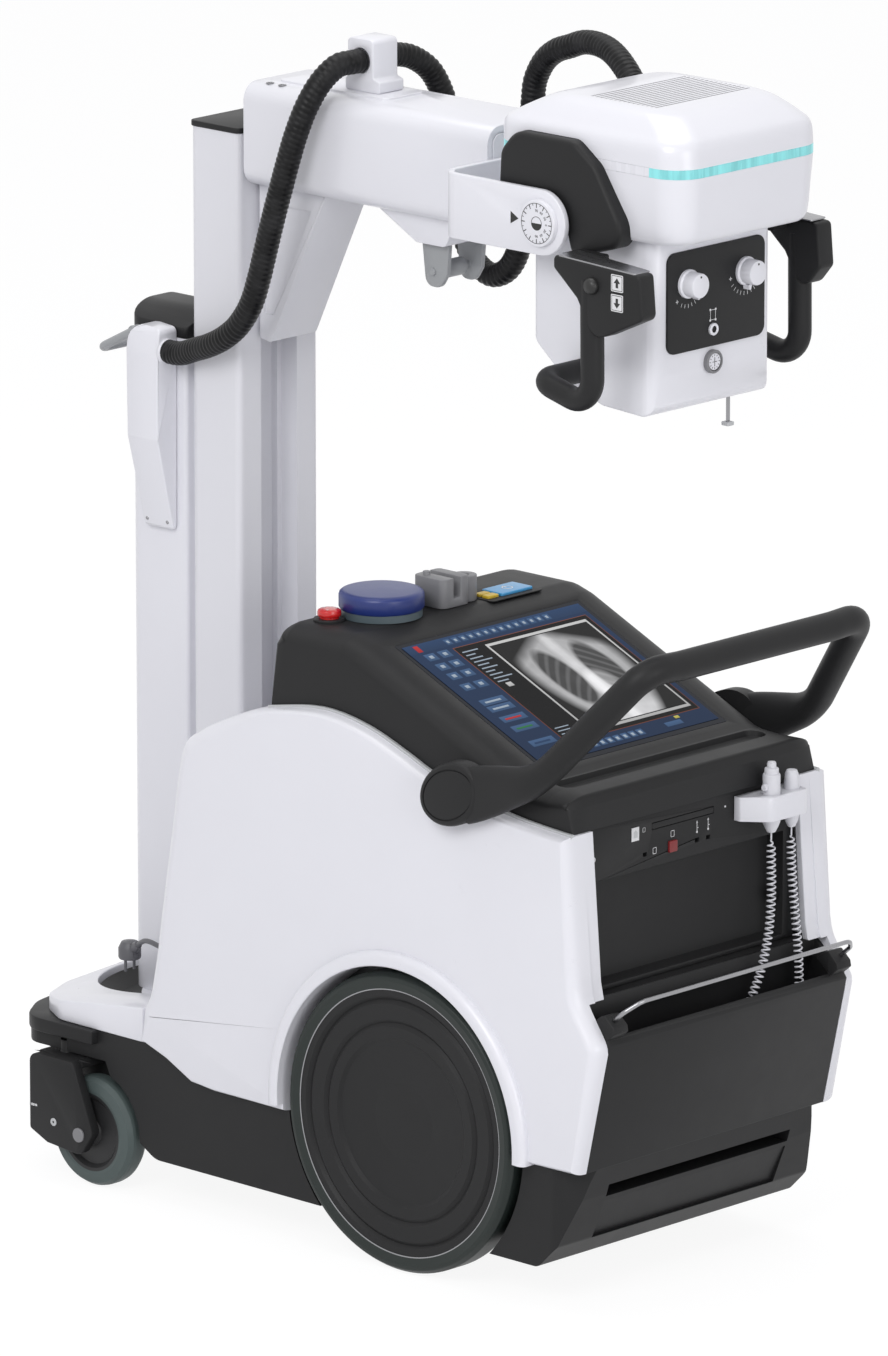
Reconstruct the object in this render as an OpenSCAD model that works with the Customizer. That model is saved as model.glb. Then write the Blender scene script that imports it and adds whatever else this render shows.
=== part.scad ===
// Mobile x-ray unit: a battery driven cart with a turning column, a telescopic arm and a tube head.
// +X points to the push handle, +Y to the machine's right side, +Z up. All sizes are in millimetres.
// The origin lies on the floor, under the middle of the whole machine.

/* [Drive wheels] */
// Diameter over the tyre
wheel_d = 470; // [440:5:490]
// Width of the tyre
wheel_w = 58; // [50:1:62]
// Diameter of the hub disc
hub_d = 418; // [380:2:420]
// Distance of the axle behind the origin
wheel_x = 206; // [196:2:216]
// Distance from the middle plane to the outer face of a tyre
wheel_face = 300; // [297:1:304]
// Room between tyre and arch
arch_gap = 12; // [8:1:14]
// Diameter of the axle stub in the hub
stub_d = 30; // [24:1:40]

/* [Castors] */
// Diameter of a castor wheel
castor_d = 176; // [160:2:180]
// Width of a castor wheel
castor_w = 48; // [40:1:52]
// Swivel axis, distance in front of the origin
castor_x = 530; // [524:2:536]
// Distance from the middle plane to a swivel axis
castor_y = 274; // [270:1:280]
// Trail of the castor wheel behind the swivel axis
trail = 68; // [60:1:70]
// Thickness of a fork's inner cheek
cheek = 9; // [7:1:12]
// Thickness of a fork's outer shroud
shroud = 18; // [12:1:20]
// Diameter of the castor's wheel pin
castor_pin_d = 12; // [10:1:14]
// Diameter of the swivel stem
stem_d = 24; // [20:1:30]

/* [Chassis] */
// Half width of the dark chassis
chassis_half = 284; // [278:1:288]
// Height of the chassis underside behind the wheels
belly_z = 62; // [55:1:70]
// Height of the seam between chassis and white covers
seam_z = 222; // [218:1:226]
// Height of the underside of the front deck
deck_z = 252; // [248:1:256]
// Front tip of the bumper, distance in front of the origin
nose_x = 690; // [684:1:696]
// Thickness of the dark bumper strip
bumper_t = 22; // [18:1:24]

/* [Covers] */
// Distance from the middle plane to the outer face of a side cover
cowl_out = 297; // [292:1:300]
// Distance from the middle plane to the inner face of a side cover
cowl_in = 255; // [250:1:262]
// Width of the raised lip round the wheel arch
lip_w = 22; // [16:1:28]
// How far the lip stands out
lip_out = 14; // [8:1:16]
// Wall between the round niche and the inside
niche_wall = 14; // [10:1:20]

/* [Column] */
// Column axis, distance in front of the origin
column_x = 460; // [455:1:465]
// Height of the column's top
column_top = 1665; // [1640:5:1700]
// Half width of the column
column_half = 88; // [84:1:90]
// Depth of the column from front to back
column_depth = 104; // [98:1:106]
// Half width of the channel in the column's back
channel_half = 40; // [34:1:44]
// Depth of that channel
channel_depth = 34; // [26:1:38]
// Radius of the floor of the round recess that the column stands in
recess_r = 165; // [160:1:170]
// Radius of that recess at the deck
recess_top_r = 196; // [190:1:200]
// Height of the recess floor
recess_z = 241; // [240:1:246]
// Height of the white front cover of the column
cover_top = 1322; // [1280:5:1340]
// Half width of the front cover
cover_half = 80; // [76:1:84]

/* [Arm] */
// Height of the arm's underside
arm_z = 1585; // [1575:5:1595]
// Height of the arm's section
arm_h = 162; // [150:1:165]
// Half width of the arm
arm_half = 85; // [78:1:88]
// Wall of the arm tube
arm_wall = 12; // [8:1:16]
// Front end of the arm, distance behind the origin
arm_end = 190; // [186:1:192]
// Running gap between the arm's two tubes
arm_fit = 0.5; // [0.3:0.1:0.8]
// Running gap between the arm and the column
slide_gap = 8; // [6:1:10]
// Half width of the carriage's web under the arm
web_half = 50; // [44:1:56]

/* [Yoke and head] */
// Tilt axis of the head, distance behind the origin
tilt_x = 405; // [403:1:408]
// Height of the tilt axis
tilt_z = 1650; // [1646:1:1654]
// Half height of the yoke's band
yoke_half_h = 50; // [45:1:55]
// Thickness of the yoke's band
yoke_t = 10; // [8:1:11]
// Distance from the middle plane to the inner face of a yoke arm
yoke_in = 189; // [188:1:195]
// Radius of the tilt pins
trunnion_r = 18; // [14:1:24]
// Half width of the tube head
head_half = 164; // [158:1:166]
// Front of the tube head, distance behind the origin
head_front = 653; // [645:1:660]
// Back of the tube head, distance behind the origin
head_back = 270; // [268:1:276]
// Half width of the collimator
collimator_half = 133; // [125:1:138]
// Height of the collimator's underside
collimator_z = 1364; // [1355:1:1375]
// Thickness of the tube of the head's grips
grip_d = 36; // [30:1:38]

/* [Console and handle] */
// Half width of the console
console_half = 272; // [266:1:280]
// Screen glass, width across the machine
screen_w = 410; // [380:2:420]
// Screen glass, length along the slope
screen_l = 340; // [320:2:350]
// Slope of the screen
screen_tilt = 24; // [22:0.5:26]
// Thickness of the screen
screen_t = 8; // [5:1:10]
// Thickness of the push handle's tube
handle_d = 45; // [38:1:48]
// Radius of the canister
canister_r = 66; // [60:1:70]

/* [Back] */
// Half width of the panel between the side covers
panel_half = 236; // [232:1:240]
// Distance from the middle plane to the side covers' returns beside that panel
pillar_in = 230; // [226:1:231]
// Half width of the open compartment
pocket_half = 211; // [200:1:214]
// Half width of the detector bin
bin_half = 268; // [262:1:270]
// Wall of the detector bin
bin_wall = 7; // [5:1:9]
// Diameter of the rail's wire
rail_d = 7; // [5:0.5:8]

/* [Clearances] */
// Gap at which pieces of one body seat on each other
seat = 0.3; // [0.2:0.05:0.4]
// Radial gap of a pin in its bore
pin_fit = 0.05; // [0.03:0.01:0.08]

/* [Hidden] */

eps = 0.01;
round_fn = 96;
small_fn = 40;
wheel_r = wheel_d / 2;
arch_r = wheel_r + arch_gap;
castor_r = castor_d / 2;
tilt_y = yoke_in + yoke_t;

// Coordinates of a table row, without its last column
function place(p) = [for (i = [0 : len(p) - 2]) p[i]];
function last(p) = p[len(p) - 1];
function unit(v) = v / norm(v);

// The arc of radius r that rounds the corner b between a and c, in a plane or in space
function corner(a, b, c, r, n) =
    let(u = unit(a - b), v = unit(c - b), turn = 180 - acos(max(-1, min(1, u * v))))
    r <= 0 || turn < 1 ? [b] :
    let(back = min(r * tan(turn / 2), 0.49 * norm(a - b), 0.49 * norm(c - b)),
        rr = back / tan(turn / 2),
        mid = b + unit(u + v) * rr / cos(turn / 2),
        from = (b + u * back - mid) / rr,
        to = (b + v * back - mid) / rr)
    [for (k = [0 : n]) mid + rr * (sin((1 - k / n) * turn) * from + sin(k / n * turn) * to) / sin(turn)];

// A closed outline from rows of x, y and corner radius
function outline(rows, n = 5) = let(m = len(rows))
    [for (i = [0 : m - 1])
        each corner(place(rows[(i + m - 1) % m]), place(rows[i]), place(rows[(i + 1) % m]),
            last(rows[i]), n)];

// An open route from rows of x, y, z and bend radius
function route(rows, n = 5) = let(m = len(rows))
    [for (i = [0 : m - 1])
        each i == 0 || i == m - 1 ? [place(rows[i])] :
            corner(place(rows[i - 1]), place(rows[i]), place(rows[i + 1]), last(rows[i]), n)];

// Outline moved inwards by d, each point by its own share
function inset(rows, d) = let(m = len(rows))
    [for (i = [0 : m - 1])
        let(a = place(rows[(i + m - 1) % m]), b = place(rows[i]), c = place(rows[(i + 1) % m]),
            p = unit(b - a), q = unit(c - b),
            left = unit([-p[1] - q[1], p[0] + q[0]]),
            stretch = max(0.6, left * [-p[1], p[0]]))
        b + left * d * last(rows[i]) / stretch];

// Solid through rings of equally many points, each anticlockwise as seen from the last ring
module loft(rings) {
    m = len(rings[0]);
    top = len(rings) - 1;
    polyhedron(
        points = [for (r = rings) each r],
        faces = concat(
            [[for (i = [0 : m - 1]) i]],
            [for (k = [0 : top - 1], i = [0 : m - 1])
                [k * m + i, (k + 1) * m + i, (k + 1) * m + (i + 1) % m, k * m + (i + 1) % m]],
            [[for (i = [m - 1 : -1 : 0]) top * m + i]]),
        convexity = 8);
}

// Side frame carried along a route without twisting
function next_side(side, dir) = unit(side - (side * dir) * dir);
function sides(path, i, side) = i == len(path) ? [] :
    let(dir = unit(path[min(i + 1, len(path) - 1)] - path[max(i - 1, 0)]), now = next_side(side, dir))
    concat([[now, cross(dir, now)]], sides(path, i + 1, now));

// Round tube swept along a route's points
module tube(path, r, n = 12, start = [0, 1, 0]) {
    frames = sides(path, 0, start);
    loft([for (i = [0 : len(path) - 1])
        [for (k = [0 : n - 1])
            path[i] + r * (cos(360 * k / n) * frames[i][0] + sin(360 * k / n) * frames[i][1])]]);
}

// Extrusion across the machine of an outline drawn in x and z
module across(y0, y1) {
    translate([0, y1, 0]) rotate([90, 0, 0]) linear_extrude(y1 - y0) children();
}

// Extrusion along the machine of an outline drawn in y and z
module along(x0, x1) {
    translate([x0, 0, 0]) rotate([90, 0, 90]) linear_extrude(x1 - x0) children();
}

module upright(z0, z1) {
    translate([0, 0, z0]) linear_extrude(z1 - z0) children();
}

module rod_y(r, y0, y1, fn = small_fn) {
    translate([0, y1, 0]) rotate([90, 0, 0]) cylinder(r = r, h = y1 - y0, $fn = fn);
}

module rod_x(r, x0, x1, fn = small_fn) {
    translate([x0, 0, 0]) rotate([0, 90, 0]) cylinder(r = r, h = x1 - x0, $fn = fn);
}

// Turns a piece drawn along +Z to point along a direction, at a place
module aim(at, dir) {
    translate(at) rotate([0, acos(dir[2] / norm(dir)), atan2(dir[1], dir[0])]) children();
}

module both_sides() {
    children();
    mirror([0, 1, 0]) children();
}

// Lines that covers, console and chassis share, as rows of x and z
front_line = [[-353, 308], [-338, 339], [-323, 412], [-312, 481], [-290, 610], [-267, 737]];
top_line = [[-229, 775], [-153, 812], [-86, 835], [0, 850], [60, 851], [131, 838], [200, 814],
    [262, 790], [340, 770], [420, 755], [484, 748], [545, 744]];
rear_line = [[566, 514], [574, 486], [607, 436], [612, 418]];
rear_foot = [568, seam_z + seat];
under_line = [[-192, 204], [-241, 209], [-295, 236], [-341, deck_z]];
console_from = 2;
deck_front = -667;
deck_back = front_line[0][0];

function with(rows, w) = [for (p = rows) [p[0], p[1], w]];
function lifted(rows, dz) = [for (p = rows) [p[0], p[1] + dz]];
function reversed(rows) = [for (i = [len(rows) - 1 : -1 : 0]) rows[i]];
function from(rows, n) = [for (i = [n : len(rows) - 1]) rows[i]];
function upto(rows, x) = [for (p = rows) if (p[0] <= x) p];

module wheel_room() {
    both_sides()
        translate([wheel_x, 0, wheel_r])
            rod_y(arch_r, wheel_face - wheel_w - arch_gap, wheel_face + 60, round_fn);
}

// Space that a castor sweeps as it swivels, with its clearance
module castor_room(gap = 9) {
    sweep = norm([trail + castor_r, castor_w / 2]) + gap;
    both_sides()
        translate([-castor_x, castor_y, 0])
            rotate_extrude($fn = round_fn)
                polygon(concat([[0, -10], [sweep, -10]],
                    [for (a = [0 : 15 : 75])
                        [norm([trail + castor_r * cos(a), castor_w / 2]) + gap,
                            castor_r + (castor_r + gap) * sin(a)]],
                    [[92, 205], [0, 205]]));
}

module column_room(r, z0, z1) {
    translate([-column_x, 0, z0]) cylinder(r = r, h = z1 - z0, $fn = round_fn);
}

// Chassis tray with its arches, stem bores and the pivot of the column
chassis_side = [[-560, 206, 10], [-330, belly_z + 5, 40], [484, belly_z, 20], [522, 100, 15], [552, 175,
    20],
    [566, seam_z, 0], [wheel_x, seam_z, 0], [wheel_x, 203.7, 0], [-192, 203.7, 0], [-241, 208.7, 30],
        [-295, 235.7, 30],
    [-341, deck_z - seat, 10], [-455, deck_z - seat, 0], [-455, 230, 0], [-625, 230, 0], [-625, 206, 0]];
slot_half = 205;
pivot_r = 45;

module chassis() {
    color([0.17, 0.17, 0.18])
    difference() {
        intersection() {
            across(-chassis_half, chassis_half) polygon(outline(chassis_side));
            upright(0, 300)
                polygon(outline([[-640, -250, 60], [-600, -chassis_half, 40], [520, -chassis_half, 30],
                    [575, -240, 60], [575, 240, 60], [520, chassis_half, 30], [-600, chassis_half, 40],
                    [-640, 250, 60]]));
        }
        wheel_room();
        castor_room();
        column_room(recess_top_r + 2, recess_z - 14, 400);
        column_room(pivot_r + pin_fit, recess_z - 32, 400);
        both_sides()
            translate([-castor_x, castor_y, 190])
                cylinder(d = stem_d + 2 * pin_fit, h = 35, $fn = small_fn);
        // Long slot across the back and the shallow panel under it
        translate([470, -slot_half, 170]) cube([150, 2 * slot_half, 20]);
        across(-slot_half, slot_half) polygon([[515, 100], [545, 162], [600, 162], [600, 90]]);
    }
    // Drive axle between the wheels
    color([0.3, 0.3, 0.31])
    both_sides()
        translate([wheel_x, 0, wheel_r]) {
            rod_y(stub_d / 2, wheel_face - wheel_w - arch_gap - eps, wheel_face - 18);
            rod_y(stub_d, wheel_face - wheel_w - arch_gap - eps, wheel_face - wheel_w - 1);
        }
}

// Heavy battery and generator block on the chassis
block = [[-60, 440], [-200, 200], [seam_z, 480]];

module battery_block() {
    color([0.35, 0.36, 0.38])
    translate([block[0][0], block[1][0], block[2][0]])
        cube([block[0][1] - block[0][0], block[1][1] - block[1][0], block[2][1] - block[2][0]]);
}

// Inner white shell: the front wall with the column's round niche, the sides and the top
shell_half = cowl_in - seat;
shell_wall = 12;

module body_shell() {
    room_x = -column_x + recess_top_r + niche_wall;
    color([0.9, 0.9, 0.93])
    difference() {
        across(-shell_half, shell_half)
            polygon(concat([[wheel_x, seam_z + seat], [wheel_x, under_line[0][1] + seat]],
                lifted(under_line, seat), [[deck_back, deck_z + seat]], front_line,
                upto(top_line, shell_back), [[shell_back, seam_z + seat]]));
        across(-shell_half + shell_wall, shell_half - shell_wall)
            polygon(concat([[room_x, seam_z - 5]], [[room_x, 740]],
                lifted(upto(from(top_line, 1), shell_back - 40), -shell_wall),
                [[shell_back - shell_wall, 735], [shell_back - shell_wall, seam_z - 5]]));
        column_room(recess_top_r, recess_z - 30, 900);
        translate([-column_x, -recess_top_r, 200]) mirror([1, 0, 0]) cube([200, 2 * recess_top_r, 700]);
        wheel_room();
    }
}

// Side cover: rows of x, z and how much of the edge rounding the point takes
cowl_rows = concat(
    [[deck_back, deck_z + seat, 0.3]],
    with(lifted(reversed(under_line), seat), 0.3),
    [[wheel_x, under_line[0][1] + seat, 0], [wheel_x, seam_z + seat, 0]],
    [[rear_foot[0], rear_foot[1], 0.4]],
    with(reversed(rear_line), 0.7),
    with(reversed(from(top_line, console_from)), 0.35),
    with(reversed([for (i = [0 : console_from - 1]) top_line[i]]), 1),
    with(reversed(from(front_line, 1)), 1),
    with([front_line[0]], 0.5));
cowl_round = 26;
return_t = 12;
back_x = last(top_line)[0];
back_z = last(top_line)[1];
shell_back = 484;
bin_top = 486.7;

module cowl_right() {
    color([0.93, 0.93, 0.95]) {
        difference() {
            loft([for (k = [4 : -1 : 0]) let(a = k == 0 ? 0 : 90 * (k - 1) / 3)
                [for (p = inset(cowl_rows, cowl_round * (1 - cos(a))))
                    [p[0], k == 0 ? cowl_in : cowl_out - cowl_round * (1 - sin(a)), p[1]]]]);
            wheel_room();
            across(0, bin_half + seat) polygon([[shell_back + 2 * seat, seam_z - 5], [700, seam_z - 5],
                [700, bin_top + 3 * seat], [shell_back + 2 * seat, bin_top + 3 * seat]]);
        }
        // Raised lip round the arch
        intersection() {
            translate([wheel_x, 0, wheel_r])
                difference() {
                    union() {
                        rod_y(arch_r + lip_w, cowl_out - cowl_round / 2, cowl_out + lip_out - 8, round_fn);
                        translate([0, cowl_out + lip_out - 8, 0]) rotate([-90, 0, 0])
                            cylinder(r1 = arch_r + lip_w, r2 = arch_r + lip_w - 8, h = 8, $fn = round_fn);
                    }
                    rod_y(arch_r, 0, 400, round_fn);
                }
            across(0, 400) polygon([[-192, 215], [wheel_x, 240], [453, seam_z + seat], [650, seam_z + seat],
                [650, 700], [-192, 700]]);
        }
        // Inner return that frames the back
        across(pillar_in, cowl_in + 1)
            polygon([[back_x, back_z], [rear_line[0][0] - 3, rear_line[0][1]],
                [rear_line[1][0] - 5, bin_top + 3 * seat], [rear_line[1][0] - return_t, bin_top + 3 * seat],
                [rear_line[0][0] - return_t, rear_line[0][1]], [back_x - return_t, back_z]]);
    }
}

module cowl_left() {
    mirror([0, 1, 0]) cowl_right();
}

// Front deck: bowed plan, sloping top
deck_plan = [[-640, -170, 90], [-600, -250, 60], [-540, -chassis_half, 50], [deck_back - seat,
    -cowl_out + 10, 0],
    [deck_back - seat, cowl_out - 10, 0], [-540, chassis_half, 50], [-600, 250, 60], [-640, 170, 90],
    [deck_front - 4, 0, 300]];

module front_deck() {
    color([0.93, 0.93, 0.95])
    difference() {
        intersection() {
            across(-cowl_out, cowl_out)
                polygon(outline([[deck_front - 20, deck_z + seat, 0], [deck_back - seat, deck_z + seat, 0],
                    [deck_back - seat, front_line[0][1], 0], [-610, 276, 120], [deck_front - 2, 270, 14]]));
            upright(200, 400) polygon(outline(deck_plan));
        }
        column_room(recess_top_r + seat, 200, 400);
    }
}

module front_bumper() {
    color([0.13, 0.13, 0.14])
    intersection() {
        across(-400, 400)
            polygon(outline([[-nose_x - 5, deck_z - bumper_t, 4], [-455 - seat, deck_z - bumper_t, 0],
                [-455 - seat, deck_z, 0], [-nose_x - 5, deck_z, 4]]));
        upright(200, 300)
            difference() {
                polygon(outline([[-646, -230, 90], [-600, -chassis_half - 14, 60], [-440,
                    -chassis_half - 14, 0],
                    [-440, chassis_half + 14, 0], [-600, chassis_half + 14, 60], [-646, 230, 90],
                    [-nose_x - 4, 0, 300]]));
                translate([-column_x, 0]) circle(r = recess_top_r + seat, $fn = round_fn);
            }
    }
}

// Dark bevelled ring and floor of the round recess
module recess_ring() {
    color([0.15, 0.15, 0.16])
    intersection() {
        translate([-column_x, 0, recess_z - 14 + eps])
            rotate_extrude($fn = round_fn)
                polygon([[pivot_r + pin_fit, 0], [recess_top_r, 0], [recess_top_r, 33],
                    [recess_r + 4, 14], [recess_r, 14 - eps], [pivot_r + pin_fit, 14 - eps]]);
        upright(200, 400) polygon(outline(deck_plan));
    }
}

// Console: side view as rows of x, z and rounding share
console_front = top_line[console_from][0];
console_top = 968;
slope_top = [96, 958];
slope_foot = [slope_top[0] + (screen_l + 32) * cos(screen_tilt),
    slope_top[1] - (screen_l + 32) * sin(screen_tilt)];
console_back = 541;
lip_z = 801;
console_rows = concat(
    with(lifted(from(top_line, console_from), seat), 0),
    [[console_back, lip_z - 18, 0.5], [console_back - 8, lip_z, 0.6], [slope_foot[0] + 50, lip_z - 1, 0.7],
    [slope_foot[0] + 18, lip_z + 1, 0.7], [slope_foot[0], slope_foot[1], 1]],
    [for (k = [1 : 3]) [slope_foot[0] + (slope_top[0] - slope_foot[0]) * k / 4,
        slope_foot[1] + (slope_top[1] - slope_foot[1]) * k / 4, 1]],
    [[slope_top[0], slope_top[1], 1], [74, console_top - 2, 1], [62, console_top, 1], [-62, console_top, 1],
    [console_front + 8, console_top - 12, 0.7], [console_front, console_top - 32, 0.5]]);
console_round = 30;

module screen_place(lift = 0) {
    middle = (slope_top + slope_foot) / 2;
    translate([middle[0], 0, middle[1]]) rotate([0, screen_tilt, 0]) translate([0, 0, lift]) children();
}

module console() {
    color([0.17, 0.17, 0.18])
    difference() {
        loft([for (s = [1, -1], a = s > 0 ? [90, 45, 0] : [0, 45, 90])
            [for (p = inset(console_rows, console_round * (1 - cos(a))))
                [p[0], s * (console_half - 52 + 52 * sin(a)), p[1]]]]);
        screen_place(-screen_t)
            translate([-screen_l / 2 - seat, -screen_w / 2 - seat, 0])
                cube([screen_l + 2 * seat, screen_w + 2 * seat, 60]);
    }
}

module screen() {
    color([0.05, 0.08, 0.14])
    screen_place(-screen_t + eps)
        translate([-screen_l / 2, -screen_w / 2, 0]) cube([screen_l, screen_w, screen_t - 1]);
}

// Where canister, post and pads stand on the console's flat top
stand_z = console_top + seat;
post_x = 20;

module dock_post() {
    color([0.45, 0.45, 0.46])
    translate([post_x, 0, stand_z])
        difference() {
            union() {
                upright(0, 46)
                    polygon(outline([[-32, -38, 12], [34, -38, 12], [34, 22, 8], [-32, 22, 8]], 4));
                translate([8, 36, 0]) cylinder(r = 20, h = 40, $fn = small_fn);
                translate([-14, -24, 0]) cylinder(r = 6, h = 52, $fn = small_fn);
            }
            translate([-40, -14, 14]) cube([90, 16, 50]);
            translate([8, 36, 22]) cylinder(r = 8, h = 40, $fn = small_fn);
        }
}

canister_at = [4, -122];

module canister() {
    color([0.42, 0.46, 0.5])
    translate([canister_at[0], canister_at[1], stand_z])
        cylinder(r = canister_r - 3, h = 12, $fn = round_fn);
}

module canister_lid() {
    color([0.08, 0.16, 0.5])
    translate([canister_at[0], canister_at[1], stand_z + 12])
        rotate_extrude($fn = round_fn)
            polygon([[0, 0], [canister_r - 2, 0], [canister_r, 3], [canister_r, 22], [canister_r - 2, 26],
                [canister_r - 7, 28], [0, 28]]);
}

module stop_button() {
    color([0.75, 0.05, 0.05])
    translate([-30, -202, stand_z]) {
        cylinder(r = 15, h = 6, $fn = small_fn);
        translate([0, 0, 6]) cylinder(r1 = 18, r2 = 17, h = 12, $fn = small_fn);
    }
}

module keypad() {
    color([0.1, 0.35, 0.6])
    translate([60, 0, stand_z]) {
        translate([-44, 88, 0]) cube([44, 70, 5]);
        translate([-34, 60, 0]) cube([32, 24, 5]);
    }
}

// Push handle with its oval lugs on both sides
handle_z = 1009;
handle_x = 664;
lug_x = 337;
lug_z = 776;

module push_handle() {
    lug_y = cowl_out + seat;
    half = 310;
    color([0.16, 0.16, 0.17]) {
        tube(route([[lug_x + 20, -half, lug_z + 6, 0], [520, -half + 4, 838, 120],
            [handle_x - 4, -238, handle_z + 2, 55], [handle_x, -170, handle_z, 0],
            [handle_x, 170, handle_z, 0], [handle_x - 4, 238, handle_z + 2, 55], [520, half - 4, 838, 120],
            [lug_x + 20, half, lug_z + 6, 0]], 7), handle_d / 2, 16, [0, 0, 1]);
        both_sides()
            across(lug_y, lug_y + 30)
                polygon([for (a = [0 : 10 : 350]) [lug_x + 64 * cos(a),
                    lug_z + 5 + 52 * sin(a) + 12 * cos(a)]]);
    }
}

// Back panel with the open compartment and its sockets
panel_x = 533;
pocket_z = [495, 658];
pocket_depth = 34;
slot_z = 716;
port_z = 678;

module rear_panel() {
    color([0.14, 0.14, 0.15])
    difference() {
        across(-panel_half + seat, panel_half - seat)
            polygon([[shell_back + seat, bin_top + seat], [panel_x - seat, bin_top + seat],
                [panel_x - seat, back_z - seat], [shell_back + seat, back_z + 3]]);
        translate([panel_x - pocket_depth, -pocket_half, pocket_z[0]])
            cube([100, 2 * pocket_half, pocket_z[1] - pocket_z[0]]);
        translate([panel_x - 8, -86, slot_z]) cube([20, 139, 11]);
        for (y = [-106, 11, 36])
            translate([panel_x - 10, y, port_z]) cube([20, 9, 6]);
    }
}

// Detector bin: outline as rows of x and z, and its slanted pocket with a ledge round it
bin_lip = [612, 418];
bin_slope = [[615, 430], [609, 438], [550, bin_top]];
ledge_z = 455;

module detector_bin() {
    color([0.17, 0.17, 0.18]) {
        difference() {
            across(-bin_half, bin_half)
                polygon(concat([[shell_back + 3 * seat, rear_foot[1]], rear_foot, bin_lip], bin_slope,
                    [[shell_back + 3 * seat, bin_top]]));
            across(-bin_half + bin_wall, bin_half - bin_wall)
                polygon([[530, seam_z + 14], [rear_foot[0] - bin_wall, seam_z + 14],
                    [bin_lip[0] - 16, ledge_z - 37], [bin_lip[0] - 14, ledge_z], [544, ledge_z]]);
            across(-bin_half + bin_wall, bin_half - bin_wall)
                polygon([[552, ledge_z - 6], [bin_lip[0] - 18, 415], [bin_lip[0] - bin_wall, 422],
                    [bin_lip[0] - bin_wall, 520], [552, 520]]);
        }
        // Blocks that the rail's ends stand in
        both_sides()
            across(bin_half - 32, bin_half)
                polygon([[580, 461], [609, 437.5], [624, 450], [622, 460], [604, 476], [594, 473]]);
    }
}

module bin_rail() {
    foot = [614.4, bin_half - 12, 469.2];
    color([0.7, 0.7, 0.72])
    tube(route([[foot[0], -foot[1], foot[2], 0], [632, -foot[1], 484, 14], [650, -234, 501, 20],
        [650, 234, 501, 20], [632, foot[1], 484, 14], [foot[0], foot[1], foot[2], 0]], 6),
        rail_d / 2, 10, [0, 0, 1]);
}

// Hand switch and its smaller neighbour in their clip
switch_at = [561, 152];
switch_pitch = 46;
switch_z = 672;
clip_z = [696, 734];

module switch_holder() {
    color([0.85, 0.85, 0.87])
    difference() {
        upright(clip_z[0], clip_z[1])
            polygon(outline([[panel_x, 98, 0], [panel_x + 12, 98, 8], [584, 128, 18], [584, 214, 12],
                [panel_x, 214, 0]]));
        translate([switch_at[0], switch_at[1], switch_z]) cylinder(r = 15, h = 80, $fn = small_fn);
        translate([switch_at[0], switch_at[1] + switch_pitch, switch_z])
            cylinder(r = 13, h = 80, $fn = small_fn);
    }
}

module hand_switch() {
    color([0.9, 0.9, 0.92]) {
        translate([switch_at[0], switch_at[1], switch_z])
            rotate_extrude($fn = small_fn)
                polygon([[0, 0], [8, 0], [11, 8], [14.7, 22], [14.7, 58], [13.7, 62], [13.7, 92], [11, 94],
                    [11, 101], [7, 103], [7, 109], [5, 112], [0, 112]]);
        translate([switch_at[0], switch_at[1] + switch_pitch, switch_z])
            rotate_extrude($fn = small_fn)
                polygon([[0, 0], [7, 0], [10, 8], [12.7, 22], [12.7, 64], [11, 84], [8, 90], [0, 92]]);
    }
}

// Curly cord from one switch down into the bin and up to the other
curly_d = 15;
curly_points = [[561, 152, 671.7], [561, 152, 640], [563, 151, 600], [565, 148, 560], [568, 138, 510],
    [571, 118, 460], [571, 96, 420], [567, 84, 380], [561, 86, 345], [556, 104, 322], [554, 130, 312],
    [554, 158, 312], [557, 184, 326], [562, 202, 352], [568, 208, 390], [571, 207, 430], [571, 204, 480],
    [568, 201, 530], [564, 199, 580], [561, 198, 630], [561, 198, 671.7]];

module curly_cord() {
    color([0.85, 0.85, 0.87]) tube(curly_points, curly_d / 2, 8);
}

// Mains plug on its short free lead, and the gland in the front wall that the lead leaves from
lead_d = 8;
gland_at = [-328.3, -238, 388];
gland_dir = [front_line[1][1] - front_line[2][1], 0, front_line[2][0] - front_line[1][0]];

module lead_gland() {
    color([0.2, 0.2, 0.21])
    aim(gland_at, gland_dir) cylinder(r1 = 11, r2 = 7, h = 26, $fn = small_fn);
}

lead_points = [[-354, -238, 393.3], [-367, -238, 396], [-384, -236, 398], [-402, -231, 396], [-418, -224,
    389],
    [-430, -218, 382]];
plug_at = [-462, -205, 364];

module mains_plug() {
    dir = last(lead_points) - lead_points[len(lead_points) - 2];
    color([0.25, 0.25, 0.27]) {
        difference() {
            aim(last(lead_points) + 0.3 * unit(dir), dir) cylinder(r1 = 6, r2 = 9, h = 26, $fn = small_fn);
            translate(plug_at) cylinder(r = 17, h = 60, center = true, $fn = small_fn);
        }
        translate(plug_at - [0, 0, 13])
            rotate_extrude($fn = small_fn)
                polygon([[0, 0], [16, 0], [18, 3], [18, 18], [13, 28], [0, 30]]);
        for (s = [-1, 1]) translate(plug_at + [0, 9.5 * s, -32]) cylinder(r = 2.4, h = 20, $fn = small_fn);
    }
}

module mains_lead() {
    color([0.2, 0.2, 0.21]) tube(lead_points, lead_d / 2, 8);
}

// Drive wheel: tyre and dished hub disc
module tyre_right() {
    color([0.1, 0.11, 0.11])
    translate([wheel_x, wheel_face, wheel_r])
        rotate([90, 0, 0])
            rotate_extrude($fn = round_fn)
                polygon(outline([[hub_d / 2, 3, 2], [hub_d / 2 + 14, 0, 3], [wheel_r - 6, 1, 5],
                    [wheel_r, 10, 5],
                    [wheel_r, wheel_w - 10, 5], [wheel_r - 6, wheel_w - 1, 5], [hub_d / 2, wheel_w - 3,
                        2]], 4));
}

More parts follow.
